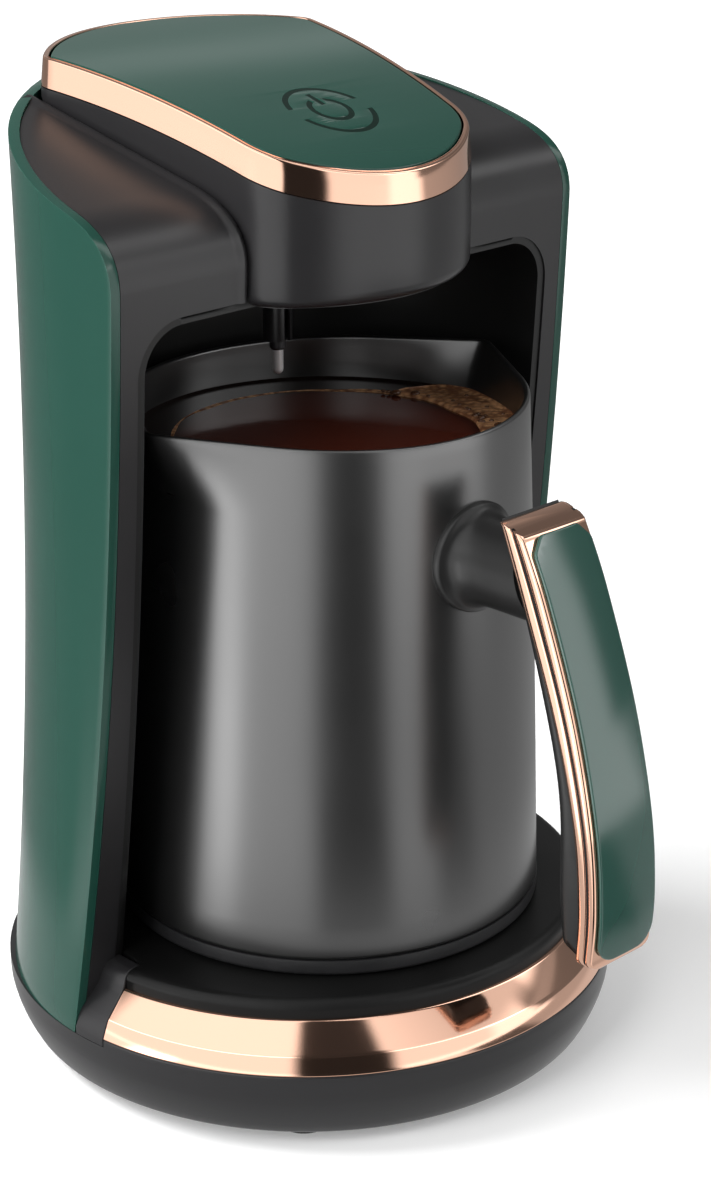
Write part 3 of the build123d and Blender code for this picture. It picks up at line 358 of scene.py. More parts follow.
def buildTrimBand():
    (creaseR, creaseZ), (topR, topZ), wall, lap = trim["crease"], trim["top"], trim["wall"], trim["lap"]
    outline = [(base["radius"], base["bandZ"]), (creaseR, creaseZ), (topR, topZ), (topR - wall, topZ),
               (topR - wall, topZ - lap), (creaseR - wall, creaseZ - lap),
               (base["radius"] - wall - trim["tuck"], base["bandZ"])]
    turnedPiece("trimBand", outline, trim["rounds"], "rose_gold", ["front_trim_band"], trim["steps"],
                start=pi, sweep=pi, cutY=trim["endY"])


buildBase()
buildTrimBand()
mergedCopy("tray_deck", "trayDeck", "charcoal_plastic", "base", finish=materials["deckBlackAndGrooveShade"])

print("stage: tower")
tower = {"half": ((18.2, 72.5), (118.0, 69.9), (236.0, 69.2)),
         "turn": ((18.2, 6.7), (118.0, 3.0), (236.0, 5.0)),
         "rear": ((18.2, 76.0), (118.0, 64.6), (236.0, 63.4)),
         "front": ((18.2, 7.8), (95.0, -3.0), (191.0, -10.0)),
         "lowZ": 18.2, "rollZ": 191.0, "shoulder": (4.0, 206.6), "rise": 0.305, "rollPull": (30.0, 21.0)}
panel = {"wall": 2.4, "edge": 1.0, "gap": 0.15, "rearX": 30.15, "topY": 55.8, "columns": 44, "faceRows": 44,
         "rollRows": 18, "shoulderRows": 20}
housing = {"wall": 2.1, "edge": 0.8, "mouthX": 62.15, "roofZ": 183.95, "cornerRound": 12.0, "cornerSteps": 14,
           "seamFrom": (31.73, -12.9), "seamLean": 0.1455, "slice": 2.0, "keepOff": 0.7, "endY": 49.0,
           "weld": 0.5, "bead": ((0.0, -0.4), (0.5, 0.25), (1.2, 0.62), (1.9, 0.6), (2.7, 0.28), (3.7, 0.0)),
           "beadSlack": 0.01}
toes = {"deckRadius": 65.4, "deckZ": 34.5, "depth": 10.0, "rounds": {3: 0.8, 4: 1.6, 5: 2.4}, "sweep": 24.0,
        "steps": 24, "frontGap": 0.3, "rearY": 7.2, "innerX": 60.5, "edge": 0.8}


def frontY(z):
    return through(tower["front"], z)


def skinAt(run):
    # the tower's side view at a share: the front face to 1, the roll to 2, the shoulder to 3
    low, high = tower["lowZ"], tower["rollZ"]
    (topY, topZ), rise = tower["shoulder"], tower["rise"]
    if run <= 1:
        z = mix(low, high, run)
        return frontY(z), z
    if run >= 2:
        y = mix(topY, panel["topY"], run - 2)
        return y, topZ + rise * (y - topY)
    t = run - 1
    lean = Vector(((frontY(high) - frontY(high - 0.1)) / 0.1, 1)).normalized() * tower["rollPull"][0]
    level = Vector((1, rise)).normalized() * tower["rollPull"][1]
    start, end = Vector((frontY(high), high)), Vector((topY, topZ))
    return ((2 * t ** 3 - 3 * t * t + 1) * start + (t ** 3 - 2 * t * t + t) * lean
            + (3 * t * t - 2 * t ** 3) * end + (t ** 3 - t * t) * level)


def towerEdge(y, z, inset):
    # half the tower's width at a place of its side view
    half, turn = through(tower["half"], z) - inset, through(tower["turn"], z)
    if y <= turn:
        return half
    depth = through(tower["rear"], z) - inset - turn
    return half * sqrt(max(0.0, 1 - ((y - turn) / depth) ** 2))


def placeOnPanel(across, run, side):
    # across runs from the panel's front edge, or its top edge, to its rear edge
    y, z = skinAt(run)
    half, turn = through(tower["half"], z), through(tower["turn"], z)
    depth = through(tower["rear"], z) - turn
    start = (y - turn) / depth
    if start > 0:
        start = asin(min(1.0, start))
    q = mix(start, acos(panel["rearX"] / half), across)
    return at(side * half * (cos(q) if q > 0 else 1), turn + depth * (sin(q) if q > 0 else q), z)


def buildPanel(name, node, side):
    rows = [i / panel["faceRows"] for i in range(panel["faceRows"])]
    rows += [1 + i / panel["rollRows"] for i in range(panel["rollRows"])]
    rows += [2 + i / panel["shoulderRows"] for i in range(panel["shoulderRows"] + 1)]
    bm = bmesh.new()
    bmesh.ops.create_grid(bm, x_segments=panel["columns"], y_segments=len(rows) - 1, size=0.5)
    for vert in bm.verts:
        row = rows[round((vert.co.y + 0.5) * (len(rows) - 1))]
        vert.co = placeOnPanel(vert.co.x + 0.5, row, side)
    piece = finishPiece(name, bm, "green_gloss", "base", [node], sharp=60, merge=weld["fine"],
                        outward=(side, 0.2, 0))
    # the rounded edges take the lighter mint, a painted highlight
    piece.data.materials.append(materials["greenEdgeHighlight"])
    giveWall(piece, panel["wall"], panel["edge"], material=1)


def raisedSkin(run, lift, step=0.002):
    # a place on the tower's side view, lifted off it
    (y0, z0), (y1, z1) = skinAt(run - step), skinAt(run + step)
    y, z = skinAt(run)
    off = Vector((z0 - z1, y1 - y0)).normalized() * lift
    return y + off.x, z + off.y


def buildHousing():
    # one flat outline per side is cut into strips, which are then laid on the tower's side view
    bead, farOut, nearly = housing["bead"], 1.0, 0.001
    low, high, shoulderY = tower["lowZ"], tower["rollZ"], tower["shoulder"][0]
    mouth, roof = housing["mouthX"] / 1000, (housing["roofZ"] - low) / (high - low)
    endRun = 2 + (housing["endY"] - shoulderY) / (panel["topY"] - shoulderY)
    faceHigh = (high - low) / 1000      # keeps the flat outline in true size
    bm = bmesh.new()
    outline = [(mouth, 0), (mouth, roof), (0, roof), (0, endRun), (farOut, endRun), (farOut, 0)]
    verts, edges = chainFrom(bm, [Vector((x, run * faceHigh, 0)) for x, run in outline])
    bmesh.ops.contextual_create(bm, geom=edges)
    softenCorners(bm, [verts[1]], housing["cornerRound"], housing["cornerSteps"])
    for across, lift in bead[1:]:
        cutAt(bm, Vector((across / 1000, 0, 0)), Vector((1, 0, 0)))
    count = round(endRun * faceHigh * 1000 / housing["slice"])
    for level in [endRun * faceHigh * i / count for i in range(1, count)]:
        if abs(level - roof * faceHigh) > housing["keepOff"] * housing["slice"] / 1000:
            cutAt(bm, Vector((0, level, 0)), Vector((0, 1, 0)))
    bmesh.ops.remove_doubles(bm, verts=bm.verts, dist=housing["weld"] / 1000)
    for vert in bm.verts:
        across, run = vert.co.x * 1000, vert.co.y / faceHigh
        y, z = skinAt(run)
        x = across
        if vert.co.x > farOut - nearly:
            x = towerEdge(y, z, panel["wall"] + panel["gap"])
        elif across < bead[-1][0] + housing["beadSlack"]:
            lift = min(bead, key=lambda step: abs(step[0] - across))[1]
            y, z = raisedSkin(run, lift)
            x = housing["seamFrom"][0] + housing["seamLean"] * (y - housing["seamFrom"][1]) + across
        vert.co = at(x, y, z)
    addMirrored(bm)
    piece = finishPiece("frontHousing", bm, "charcoal_plastic", "base", ["front_housing"], sharp=60,
                        merge=weld["fine"], outward=(0, -1, 1))
    giveWall(piece, housing["wall"], housing["edge"])
    evenShading(piece)


def buildToes():
    # the feet of the two front legs carry on the band's shape
    (creaseR, creaseZ), (topR, topZ), axisY = trim["crease"], trim["top"], base["axisY"]
    deckR, deckZ, half = toes["deckRadius"], toes["deckZ"], toes["sweep"] / 2
    inner = deckR - toes["depth"]
    outline = [(inner, base["seatZ"]), (base["radius"], base["seatZ"]), (base["radius"], base["bandZ"]),
               (creaseR, creaseZ), (topR, topZ), (deckR, deckZ), (inner, deckZ)]
    bm = bmesh.new()
    verts = chainFrom(bm, [at(0, axisY, z) + Vector((-r / 1000, 0, 0)) for r, z in outline])[0]
    for index, size in toes["rounds"].items():
        softenCorners(bm, [verts[index]], size)
    spinAbout(bm, axisY, radians(2 * half), toes["steps"], radians(-half))
    for place, away in ((at(0, trim["endY"] + toes["frontGap"], 0), (0, -1, 0)),
                        (at(0, toes["rearY"], 0), (0, 1, 0)), (at(-toes["innerX"], 0, 0), (1, 0, 0))):
        cutAt(bm, place, away, clear=True)
        closeHoles(bm)
    addMirrored(bm)
    roundEdges(finishPiece("frontToes", bm, "charcoal_plastic", "base", sharp=40), toes["edge"], 3, 60)


buildPanel("leftPanel", "left_side_panel", -1)
buildPanel("rightPanel", "right_side_panel", 1)
buildHousing()
buildToes()
# the liner takes the darker black, painted shade over its lip and hollow
mergedCopy("bay_liner", "bayLiner", "charcoal_plastic", "base", sharp=40, finish=materials["bayBlackPaintedShade"])
mergedCopy("rear_cover", "rearCover", "charcoal_plastic", "base", sharp=32)

print("stage: head")
cap = {"noseY": -26.0, "flankFront": (29.7, -12.6), "flankRear": (38.3, 46.5), "rearY": 64.4,
       "noseBlend": 14.0, "rearBlend": 3.0, "crownRadius": 262.0, "crownY": 75.0, "crownZ": 230.4,
       "steps": (18, 18, 30, 8, 16)}        # points along the nose, its blend, the flank and so on
ring = {"wall": 1.9, "lean": 0.6, "height": 6.5, "edge": 0.5, "innerEdge": 0.25}
head = {"lowZ": 182.4, "noseEdge": 3.0, "openInset": 3.2, "rearY": 47.0, "gap": 0.06, "lid": 2.0,
        "levels": (8.0, 14.0)}


def capZ(y):
    return cap["crownZ"] - cap["crownRadius"] + sqrt(cap["crownRadius"] ** 2 - (y - cap["crownY"]) ** 2)


def arcPoints(middle, radius, start, end, count):
    turns = [mix(start, end, i / count) for i in range(count)]
    return [(middle[0] + radius * cos(a), middle[1] + radius * sin(a)) for a in turns]


def blendMiddle(bowMiddle, bowRadius, blend, front):
    # the middle of the arc that joins the flank to the nose's bow, or to the rear's
    start, end = Vector(cap["flankFront"]), Vector(cap["flankRear"])
    along = (end - start).normalized()
    inside = start + Vector((-along.y, along.x)) * blend - Vector((0, bowMiddle))
    back = inside.dot(along)
    reach = sqrt(back ** 2 - inside.length_squared + (bowRadius - blend) ** 2)
    return inside + along * (-back - reach if front else -back + reach) + Vector((0, bowMiddle))


def capOutline(grow):
    # the cap's outline grown outwards, with as many points for any growth
    (fx, fy), (rx, ry), steps = cap["flankFront"], cap["flankRear"], cap["steps"]
    noseR = (fx ** 2 + (fy - cap["noseY"]) ** 2) / (2 * (fy - cap["noseY"]))
    rearR = (rx ** 2 + (cap["rearY"] - ry) ** 2) / (2 * (cap["rearY"] - ry))
    noseMid, rearMid = cap["noseY"] + noseR, cap["rearY"] - rearR
    near = blendMiddle(noseMid, noseR, cap["noseBlend"], True)
    far = blendMiddle(rearMid, rearR, cap["rearBlend"], False)
    flankTurn = atan2(fx - rx, ry - fy)
    nearTurn, farTurn = atan2(near.y - noseMid, near.x), atan2(far.y - rearMid, far.x)
    half = arcPoints((0, noseMid), noseR + grow, -pi / 2, nearTurn, steps[0])
    half += arcPoints(near, cap["noseBlend"] + grow, nearTurn, flankTurn, steps[1])
    flank = [Vector(m) + Vector((cos(flankTurn), sin(flankTurn))) * (blend + grow)
             for m, blend in ((near, cap["noseBlend"]), (far, cap["rearBlend"]))]
    half += [tuple(flank[0].lerp(flank[1], i / steps[2])) for i in range(steps[2])]
    half += arcPoints(far, cap["rearBlend"] + grow, flankTurn, farTurn, steps[3])
    half += arcPoints((0, rearMid), rearR + grow, farTurn, pi / 2, steps[4])
    rear = (0, cap["rearY"] + grow)
    return half + [rear] + [(-x, y) for x, y in reversed(half[1:])]


def capShape(rows, heightAt, joined=False):
    # rings that follow the cap's outline; a row gives their growth and what heightAt makes a height of
    bm = bmesh.new()
    spot = bm.verts.layers.int.new("spot")
    outlines = {row[0]: capOutline(row[0]) for row in rows}
    for index, vert in enumerate(chainFrom(bm, [Vector((x, y, 0)) for x, y in outlines[rows[0][0]]])[0]):
        vert[spot] = index

    def place(vert, row):
        x, y = outlines[row[0]][vert[spot]]
        return at(x, y, heightAt(y, row[1]))

    growShape(bm, rows, place, joined)
    return bm


def buildHead():
    wall, edge, inset = ring["wall"], head["noseEdge"], head["openInset"]
    topY, topZ = tower["shoulder"]
    rows = [(wall - edge - inset, head["lid"]), (wall - edge - inset, 0)]
    rows += [(wall - edge * (1 - sin(a)), edge * (1 - cos(a))) for a in quarterTurns(5)]
    rows += [(wall, lift) for lift in head["levels"]] + [(wall, None), (wall - inset, None)]

    def heightAt(y, lift):
        top = capZ(y) - ring["height"] - head["gap"]
        low = head["lowZ"] + (lift or 0)
        if y > head["rearY"]:
            low = max(low, topZ + tower["rise"] * (y - topY))
        return top if lift is None else min(low, top)

    finishPiece("headShell", capShape(rows, heightAt), "charcoal_plastic", "base", ["head_shell"], sharp=50)


def buildRing():
    wall, edge, lean, tall, fine = (ring[key] for key in ("wall", "edge", "lean", "height", "innerEdge"))
    arcs = quarterTurns(4)
    rows = [(0.0, tall), (wall - fine, tall), (wall, tall - fine)]
    rows += [(mix(wall, wall - lean, i / 3), mix(tall - fine, edge, i / 3)) for i in range(1, 3)]
    rows += [(wall - lean - edge * (1 - cos(a)), edge * (1 - sin(a))) for a in arcs]
    rows += [(fine * (1 - sin(a)), fine * (1 - cos(a))) for a in reversed(arcs)]
    finishPiece("capRing", capShape(rows, lambda y, drop: capZ(y) - drop, joined=True), "rose_gold", "base",
                ["cap_trim_ring"], sharp=50)


buildHead()
buildRing()
mergedCopy("power_plate", "powerPlate", "green_gloss", "plate", sharp=32)

print("stage: jug")
jug = {"knots": ((35.0, 49.7), (90.0, 48.0), (155.5, 45.4)), "footZ": 38.7, "footRound": 1.0,
       "ceilingZ": 45.6, "floorZ": 47.0, "floorRound": 4.0, "wall": 1.4, "spoutZ": 141.0, "rimZ": 155.5,
       "rimRise": 1.9, "spoutReach": 53.0, "tipRadius": 3.6, "steps": 192, "crowding": 0.8,
       "drainRadius": 6.0, "rows": (14, 6, 8, 8)}        # rows: the wall, the spout, over the lip, inside


def jugRadius(z):
    return through(jug["knots"], z)


def mouthRadius(angle):
    # the rim seen from above: a circle with two tangent spouts along X
    rim, tipRound = jugRadius(jug["rimZ"]), jug["tipRadius"]
    tip = jug["spoutReach"] - tipRound
    lean = acos((rim - tipRound) / tip)
    turn = atan2(abs(sin(angle)), abs(cos(angle)))
    tipTurn = atan2(tipRound * sin(lean), tip + tipRound * cos(lean))
    if turn >= lean:
        return rim
    if turn >= tipTurn:
        return rim / cos(lean - turn)
    return tip * cos(turn) + sqrt(tipRound ** 2 - (tip * sin(turn)) ** 2)


def spoutShare(z):
    return max(0.0, (z - jug["spoutZ"]) / (jug["rimZ"] - jug["spoutZ"]))


def wallRadius(angle, z):
    # the jug's outside at a height, with the spouts growing towards the rim
    return mix(jugRadius(min(z, jug["spoutZ"])), mouthRadius(angle), min(1.0, spoutShare(z)))


def angleOf(vert):
    return atan2(vert.co.y - jugAxis.y, vert.co.x)


def startRing(steps, crowding=0.0):
    # a unit circle about the jug's axis, its points crowded towards the spouts
    bm = bmesh.new()
    made = bmesh.ops.create_circle(bm, cap_ends=False, segments=steps, radius=1.0)
    for index, vert in enumerate(made["verts"]):
        turn = 2 * pi * index / steps
        turn -= crowding * sin(2 * turn) / 2
        vert.co = jugAxis + Vector((cos(turn), sin(turn), 0))
    return bm


def placeOnWall(vert, row):
    # row: height, lift above the rim's own curve, inset from the outside
    z, lift, inset = row
    turn = angleOf(vert)
    reach = wallRadius(turn, z)
    rise = jug["rimRise"] * (mouthRadius(turn) * cos(turn) / jug["spoutReach"]) ** 2 * spoutShare(z)
    return at((reach - inset) * cos(turn), (reach - inset) * sin(turn), z + rise + lift)


def buildJug():
    wall, foot, rim = jug["wall"], jug["footRound"], jug["rimZ"] - jug["wall"] / 2
    up, spout, over, down = jug["rows"]
    quarter = quarterTurns(4)
    rows = [(jug["ceilingZ"], 0, wall), (jug["footZ"], 0, wall)]
    rows += [(jug["footZ"] + foot * (1 - cos(a)), 0, foot * (1 - sin(a))) for a in quarter]
    rows += [(mix(jug["footZ"] + foot, jug["spoutZ"], i / up), 0, 0) for i in range(1, up + 1)]
    rows += [(mix(jug["spoutZ"], rim, i / spout), 0, 0) for i in range(1, spout + 1)]
    rows += [(rim, wall / 2 * sin(pi * i / over), wall / 2 * (1 - cos(pi * i / over)))
             for i in range(1, over)]
    rows += [(mix(rim, jug["spoutZ"], i / spout), 0, wall) for i in range(spout + 1)]
    low = jug["floorZ"] + jug["floorRound"]
    rows += [(mix(jug["spoutZ"], low, i / down), 0, wall) for i in range(1, down + 1)]
    rows += [(low - jug["floorRound"] * sin(a), 0, wall + jug["floorRound"] * (1 - cos(a)))
             for a in quarter[1:]]
    rows += [(jug["floorZ"], 0, jugRadius(jug["floorZ"]) - jug["drainRadius"])]
    bm = startRing(jug["steps"], jug["crowding"])
    growShape(bm, rows, placeOnWall)
    finishPiece("jugBody", bm, "jug_black", "jug", ["jug_body"], sharp=50)


buildJug()
mergedCopy("jug_base_ring", "jugBaseRing", "jug_base_black", "jug", sharp=32)

print("stage: coffee")
coffee = {"level": 145.4, "depth": 3.0, "meniscus": 0.7, "gap": 0.02, "middle": (0.2, 0.5, 0.8),
          "climb": ((2.2, 0), (1.2, 0.12), (0.5, 0.45)), "edge": (0.0335, 0.0375), "sway": 0.004,
          "swirl": 60.0, "red": (0.085, 0.018, 0.010), "black": (0.012, 0.007, 0.006), "rough": (0.04, 0.12),
          "bump": (0.15, 0.0005), "set": {"Specular IOR Level": 0.4, "Coat Weight": 0.3}}
foam = {"inner": 34.6, "height": 0.7, "thin": 0.5, "line": 1.2, "lineFrom": 44.0, "lineTo": 27.0,
        "wideFrom": 22.0, "wideTo": 6.0, "backFrom": -150.0, "backTo": -120.0, "sunk": -0.6,
        "fullWidth": 3.0, "steps": 360,
        "wobble": ((0.35, 7, 0), (0.25, 13, 1)),        # size, waves round the jug, shift
        "profile": ((0, 0.3), (0.03, 0.7), (0.1, 0.95), (0.3, 1), (0.5, 0.92), (0.7, 1), (0.88, 1.05),
                    (0.96, 1.3), (1, 1.6)),
        "tan": (0.50, 0.27, 0.13), "brown": (0.16, 0.065, 0.03), "cell": 620.0, "cloud": 160.0,
        "spread": (0.08, 0.34), "rough": (0.25, 0.55), "bump": (0.5, 0.0006),
        "set": {"Specular IOR Level": 0.4}}
bubbles = {"count": 46, "seed": 11, "turn": (-115, 24), "size": (0.5, 1.5), "across": (0.05, 0.85),
           "least": 0.2, "share": 0.5, "flat": 0.55}


def coffeeMaterial():
    mat, tree, shader = newMaterial("coffee", coffee["set"])
    (edgeFrom, edgeTo), (smooth, dull), (strength, depth) = coffee["edge"], coffee["rough"], coffee["bump"]
    place = addNode(tree, "TexCoord").outputs["Object"]
    swirl = addNode(tree, "TexNoise", {"Vector": place, "Scale": coffee["swirl"],
                                       "Detail": 3.0}).outputs["Fac"]
    flat = addNode(tree, "Mapping", {"Vector": place, "Location": -jugAxis, "Scale": (1, 1, 0)})
    reach = addNode(tree, "VectorMath", {0: flat.outputs["Vector"]}, operation="LENGTH")
    sway = addNode(tree, "Math", {0: swirl, 1: coffee["sway"], 2: reach.outputs["Value"]},
                   operation="MULTIPLY_ADD")
    edge = addNode(tree, "MapRange", {"Value": sway.outputs[0], "From Min": edgeFrom, "From Max": edgeTo})
    tone = blendTone(tree, edge.outputs["Result"], coffee["red"], coffee["black"])
    rough = addNode(tree, "MapRange", {"Value": swirl, "To Min": smooth, "To Max": dull})
    bump = addNode(tree, "Bump", {"Height": swirl, "Strength": strength, "Distance": depth})
    feedShader(tree, shader, tone, rough, bump)
    return mat


def foamMaterial():
    mat, tree, shader = newMaterial("coffeeFoam", foam["set"])
    (low, high), (smooth, dull), (strength, depth) = foam["spread"], foam["rough"], foam["bump"]
    place = addNode(tree, "TexCoord").outputs["Object"]
    cells = addNode(tree, "TexVoronoi", {"Vector": place, "Scale": foam["cell"]}).outputs["Distance"]
    cloud = addNode(tree, "TexNoise", {"Vector": place, "Scale": foam["cloud"], "Detail": 3.0}).outputs["Fac"]
    both = addNode(tree, "Math", {0: cells, 1: cloud}, operation="MULTIPLY")
    spread = addNode(tree, "MapRange", {"Value": both.outputs[0], "From Min": low, "From Max": high})
    tone = blendTone(tree, spread.outputs["Result"], foam["tan"], foam["brown"])
    rough = addNode(tree, "MapRange", {"Value": cloud, "To Min": smooth, "To Max": dull})
    bump = addNode(tree, "Bump", {"Height": cells, "Strength": strength, "Distance": depth})
    feedShader(tree, shader, tone, rough, bump)
    return mat


def insideWall(angle):
    return wallRadius(angle, coffee["level"]) - jug["wall"]


def foamWidth(angle):
    # a broad crescent at the right and the front, a fine line behind it
    wide = insideWall(angle) - foam["inner"] - coffee["gap"]
    turn = (angle * 180 / pi + 180) % 360 - 180

    def fade(low, high, start, end):
        return mix(low, high, smoothStep((turn - start) / (end - start)))

    if turn < foam["backTo"]:
        return fade(foam["thin"], wide, foam["backFrom"], foam["backTo"])
    line = fade(foam["line"], foam["thin"], foam["lineTo"], foam["lineFrom"])
    return fade(wide, line, foam["wideTo"], foam["wideFrom"])


def placeCoffee(vert, row):
    # row: share of the way to the wall, distance off it, height over the level
    share, gap, lift = row
    turn = angleOf(vert)
    reach = insideWall(turn) * share - gap
    return at(reach * cos(turn), reach * sin(turn), coffee["level"] + lift)


def placeFoam(vert, row):
    # row: share across the foam, share of its height
    share, lift = row
    turn = angleOf(vert)
    wobble = sum(size * sin(waves * turn + shift) for size, waves, shift in foam["wobble"])
    reach = foam["inner"] + wobble * (1 - share) + foamWidth(turn) * share
    height = foam["height"] * min(1.0, foamWidth(turn) / foam["fullWidth"])
    return at(reach * cos(turn), reach * sin(turn), coffee["level"] + height * lift)


def buildCoffee():
    gap, rise, depth, middle = coffee["gap"], coffee["meniscus"], coffee["depth"], coffee["middle"]
    rows = [(share, 0, 0) for share in middle]
    rows += [(1, off, lift * rise) for off, lift in coffee["climb"]]
    rows += [(1, gap, rise), (1, gap, -depth), (middle[0], 0, -depth)]
    bm = startRing(jug["steps"], jug["crowding"])
    growShape(bm, rows, placeCoffee)
    finishPiece("coffee", bm, "component_black", "jug", sharp=60, finish=coffeeMaterial())


def buildFoam():
    bm = startRing(foam["steps"])
    growShape(bm, [(0, foam["sunk"]), *foam["profile"], (1, foam["sunk"])], placeFoam, joined=True)
    finishPiece("coffeeFoam", bm, "component_black", "jug", sharp=60, finish=foamMaterial())


def buildBubbles():
    bm = bmesh.new()
    dice = random.Random(bubbles["seed"])
    for _ in range(bubbles["count"]):
        turn = radians(dice.uniform(*bubbles["turn"]))
        size = mix(*bubbles["size"], dice.random() ** 2)
        spare = foamWidth(turn) - size
        reach = foam["inner"] + max(bubbles["least"], spare * dice.uniform(*bubbles["across"]))
        size = min(size, foamWidth(turn) * bubbles["share"])
        place = Matrix.Translation(at(reach * cos(turn), reach * sin(turn), coffee["level"] + foam["height"]))
        bmesh.ops.create_icosphere(bm, subdivisions=2, radius=size / 1000,
                                   matrix=place @ Matrix.Diagonal((1, 1, bubbles["flat"], 1)))
    finishPiece("foamBubbles", bm, "component_black", "jug", sharp=80, finish=materials["coffeeBubble"])


buildCoffee()
buildFoam()
buildBubbles()

print("stage: handle")
handle = {"gripLine": [(-60.4, 141.5), (-66.6, 125.0), (-73.3, 105.0), (-78.6, 82.0), (-79.4, 62.0),
                       (-80.5, 52.5)],
          "frameLine": [(-61.6, 143.0), (-68.6, 126.0), (-78.0, 102.5), (-84.2, 80.0), (-86.2, 62.0),
                        (-86.2, 50.0)],
          "panelLine": [(-68.2, 141.0), (-74.7, 127.5), (-83.6, 103.5), (-89.4, 80.0), (-91.2, 62.0),
                        (-90.6, 50.0)],
          "bottomZ": 47.6, "half": 10.0, "edge": 0.8, "groove": (0.50, 0.64), "grooveDepth": 0.8,
          "grooveEdge": 0.35, "grooveLean": 0.03, "steps": 56, "depth": 6.0, "shrink": 0.33,
          "stripSunk": 0.25, "stripBack": 0.2, "stripLean": 0.015,
          "topEnd": ((0, 0.18, 0.8, 0), (0, 0.35, 0.25, 0), (0.004, 0.4, 0, 0)),
          "lowEnd": ((0.2, 0, 0.1), (0.45, 0, 0.45), (0.7, 0, 1.2), (0.87, 0.1, 2.1), (0.96, 0.3, 3.0),
                     (1, 0.7, 4.0))}
grip = {"half": 8.9, "low": 49.6, "high": 140.8, "cut": 3.2, "lowRound": (5.0, 8), "cutRound": (0.7, 3),
        "strips": 8, "slice": 2.4, "weld": 0.4, "crown": 0.45, "proud": 1.6, "gap": 0.05, "edge": 0.45,
        "samples": 60}
arm = {"midZ": 128.5, "boss": 12.2, "halfWidth": 9.0, "halfHeight": 9.7, "bite": 0.6, "steps": 72,
       # off the jug and how much smaller; then off it and the share of the way from boss to arm
       "bossRows": ((-0.6, 0), (0.9, 0), (1.3, 0.15), (1.6, 0.5), (1.8, 1.0)),
       "neckRows": ((2.4, 0.6), (3.4, 0.8), (5.0, 0.93)), "neckEnd": 7.5}


def alongLine(points, share):
    # a smooth curve through points, from the first at 0 to the last at 1
    spot = min(max(share, 0.0), 1.0) * (len(points) - 1)
    index = min(int(spot), len(points) - 2)
    t = spot - index
    before = points[max(index - 1, 0)]
    start, end = points[index], points[index + 1]
    after = points[min(index + 2, len(points) - 1)]
    curve = []
    for a, b, c, d in zip(before, start, end, after):
        bend, twist = a - 2.5 * b + 2 * c - d / 2, -a / 2 + 1.5 * b - 1.5 * c + d / 2
        curve.append(b + t * (c - a) / 2 + t * t * bend + t ** 3 * twist)
    return curve


def whereOn(points, z):
    # y where a falling line of (y, z) points passes a height
    for (y0, z0), (y1, z1) in zip(points, points[1:]):
        if z >= z1:
            return mix(y0, y1, (z0 - z) / (z0 - z1))
    return points[-1][0]


def sweepDownHandle(name, loops, soften, slot, stands, shrink, finish=None):
    # closed sections in x and share from the frame's line to the panel's, swept down the handle
    bm = bmesh.new()
    outward, across = (bm.verts.layers.float.new(label) for label in ("outward", "across"))
    scale = handle["depth"]
    verts = []
    for loop in loops:
        verts += chainFrom(bm, [Vector((x, scale * u, 0)) / 1000 for x, u in loop])[0]
    for size, picked in soften:
        softenCorners(bm, [verts[i] for i in picked], size, 3)
    for vert in bm.verts:
        vert[outward] = vert.co.y * 1000 / scale
        vert[across] = vert.co.x * 1000

    def placeSection(vert, row):
        # row: share down the line, drop below it, squeeze of the depth, inset of the width
        share, drop, squeeze, inset = row
        inner, outer = alongLine(handle["frameLine"], share), alongLine(handle["panelLine"], share)
        u = mix(vert[outward], 0.5, squeeze * shrink)
        x = vert[across] * (1 - inset / handle["half"])
        return at(x, mix(inner[0], outer[0], u), mix(inner[1], outer[1], u) - drop)

    fall = handle["frameLine"][-1][1] - handle["bottomZ"]
    rows = [*handle["topEnd"]]
    rows += [(i / handle["steps"], 0, 0, 0) for i in range(1, handle["steps"] + 1)]
    rows += [(1, fall * drop, squeeze, inset) for drop, squeeze, inset in handle["lowEnd"]]
    growShape(bm, rows, placeSection)
    finishPiece(name, bm, slot, "jug", stands, sharp=40, finish=finish)


def buildHandleFrame():
    # a groove runs between the side strip and the bead, with a dark strip in it that is painted shade
    half, deep, (low, high) = handle["half"], handle["grooveDepth"], handle["groove"]
    lean, edge = handle["grooveLean"], handle["grooveEdge"]
    side = [(half, 0.0), (half, low), (half - deep, low + lean), (half - deep, high - lean), (half, high),
            (half, 1.0)]
    outline = side + [(-x, u) for x, u in reversed(side)]
    sweepDownHandle("handleFrame", [outline], [(handle["edge"], (0, 5, 6, 11)), (edge, (1, 4, 7, 10))],
                    "rose_gold", ["handle_frame"], handle["shrink"])
    # near-black strips laid in the groove paint its shade
    out, back, lean = half - handle["stripSunk"], half - deep - handle["stripBack"], handle["stripLean"]
    strip = [(back, low), (out, low + lean), (out, high - lean), (back, high)]
    sweepDownHandle("handleGrooveShade", [strip, [(-x, u) for x, u in reversed(strip)]], [], "jug_black", [], 0.0,
                    finish=materials["deckBlackAndGrooveShade"])


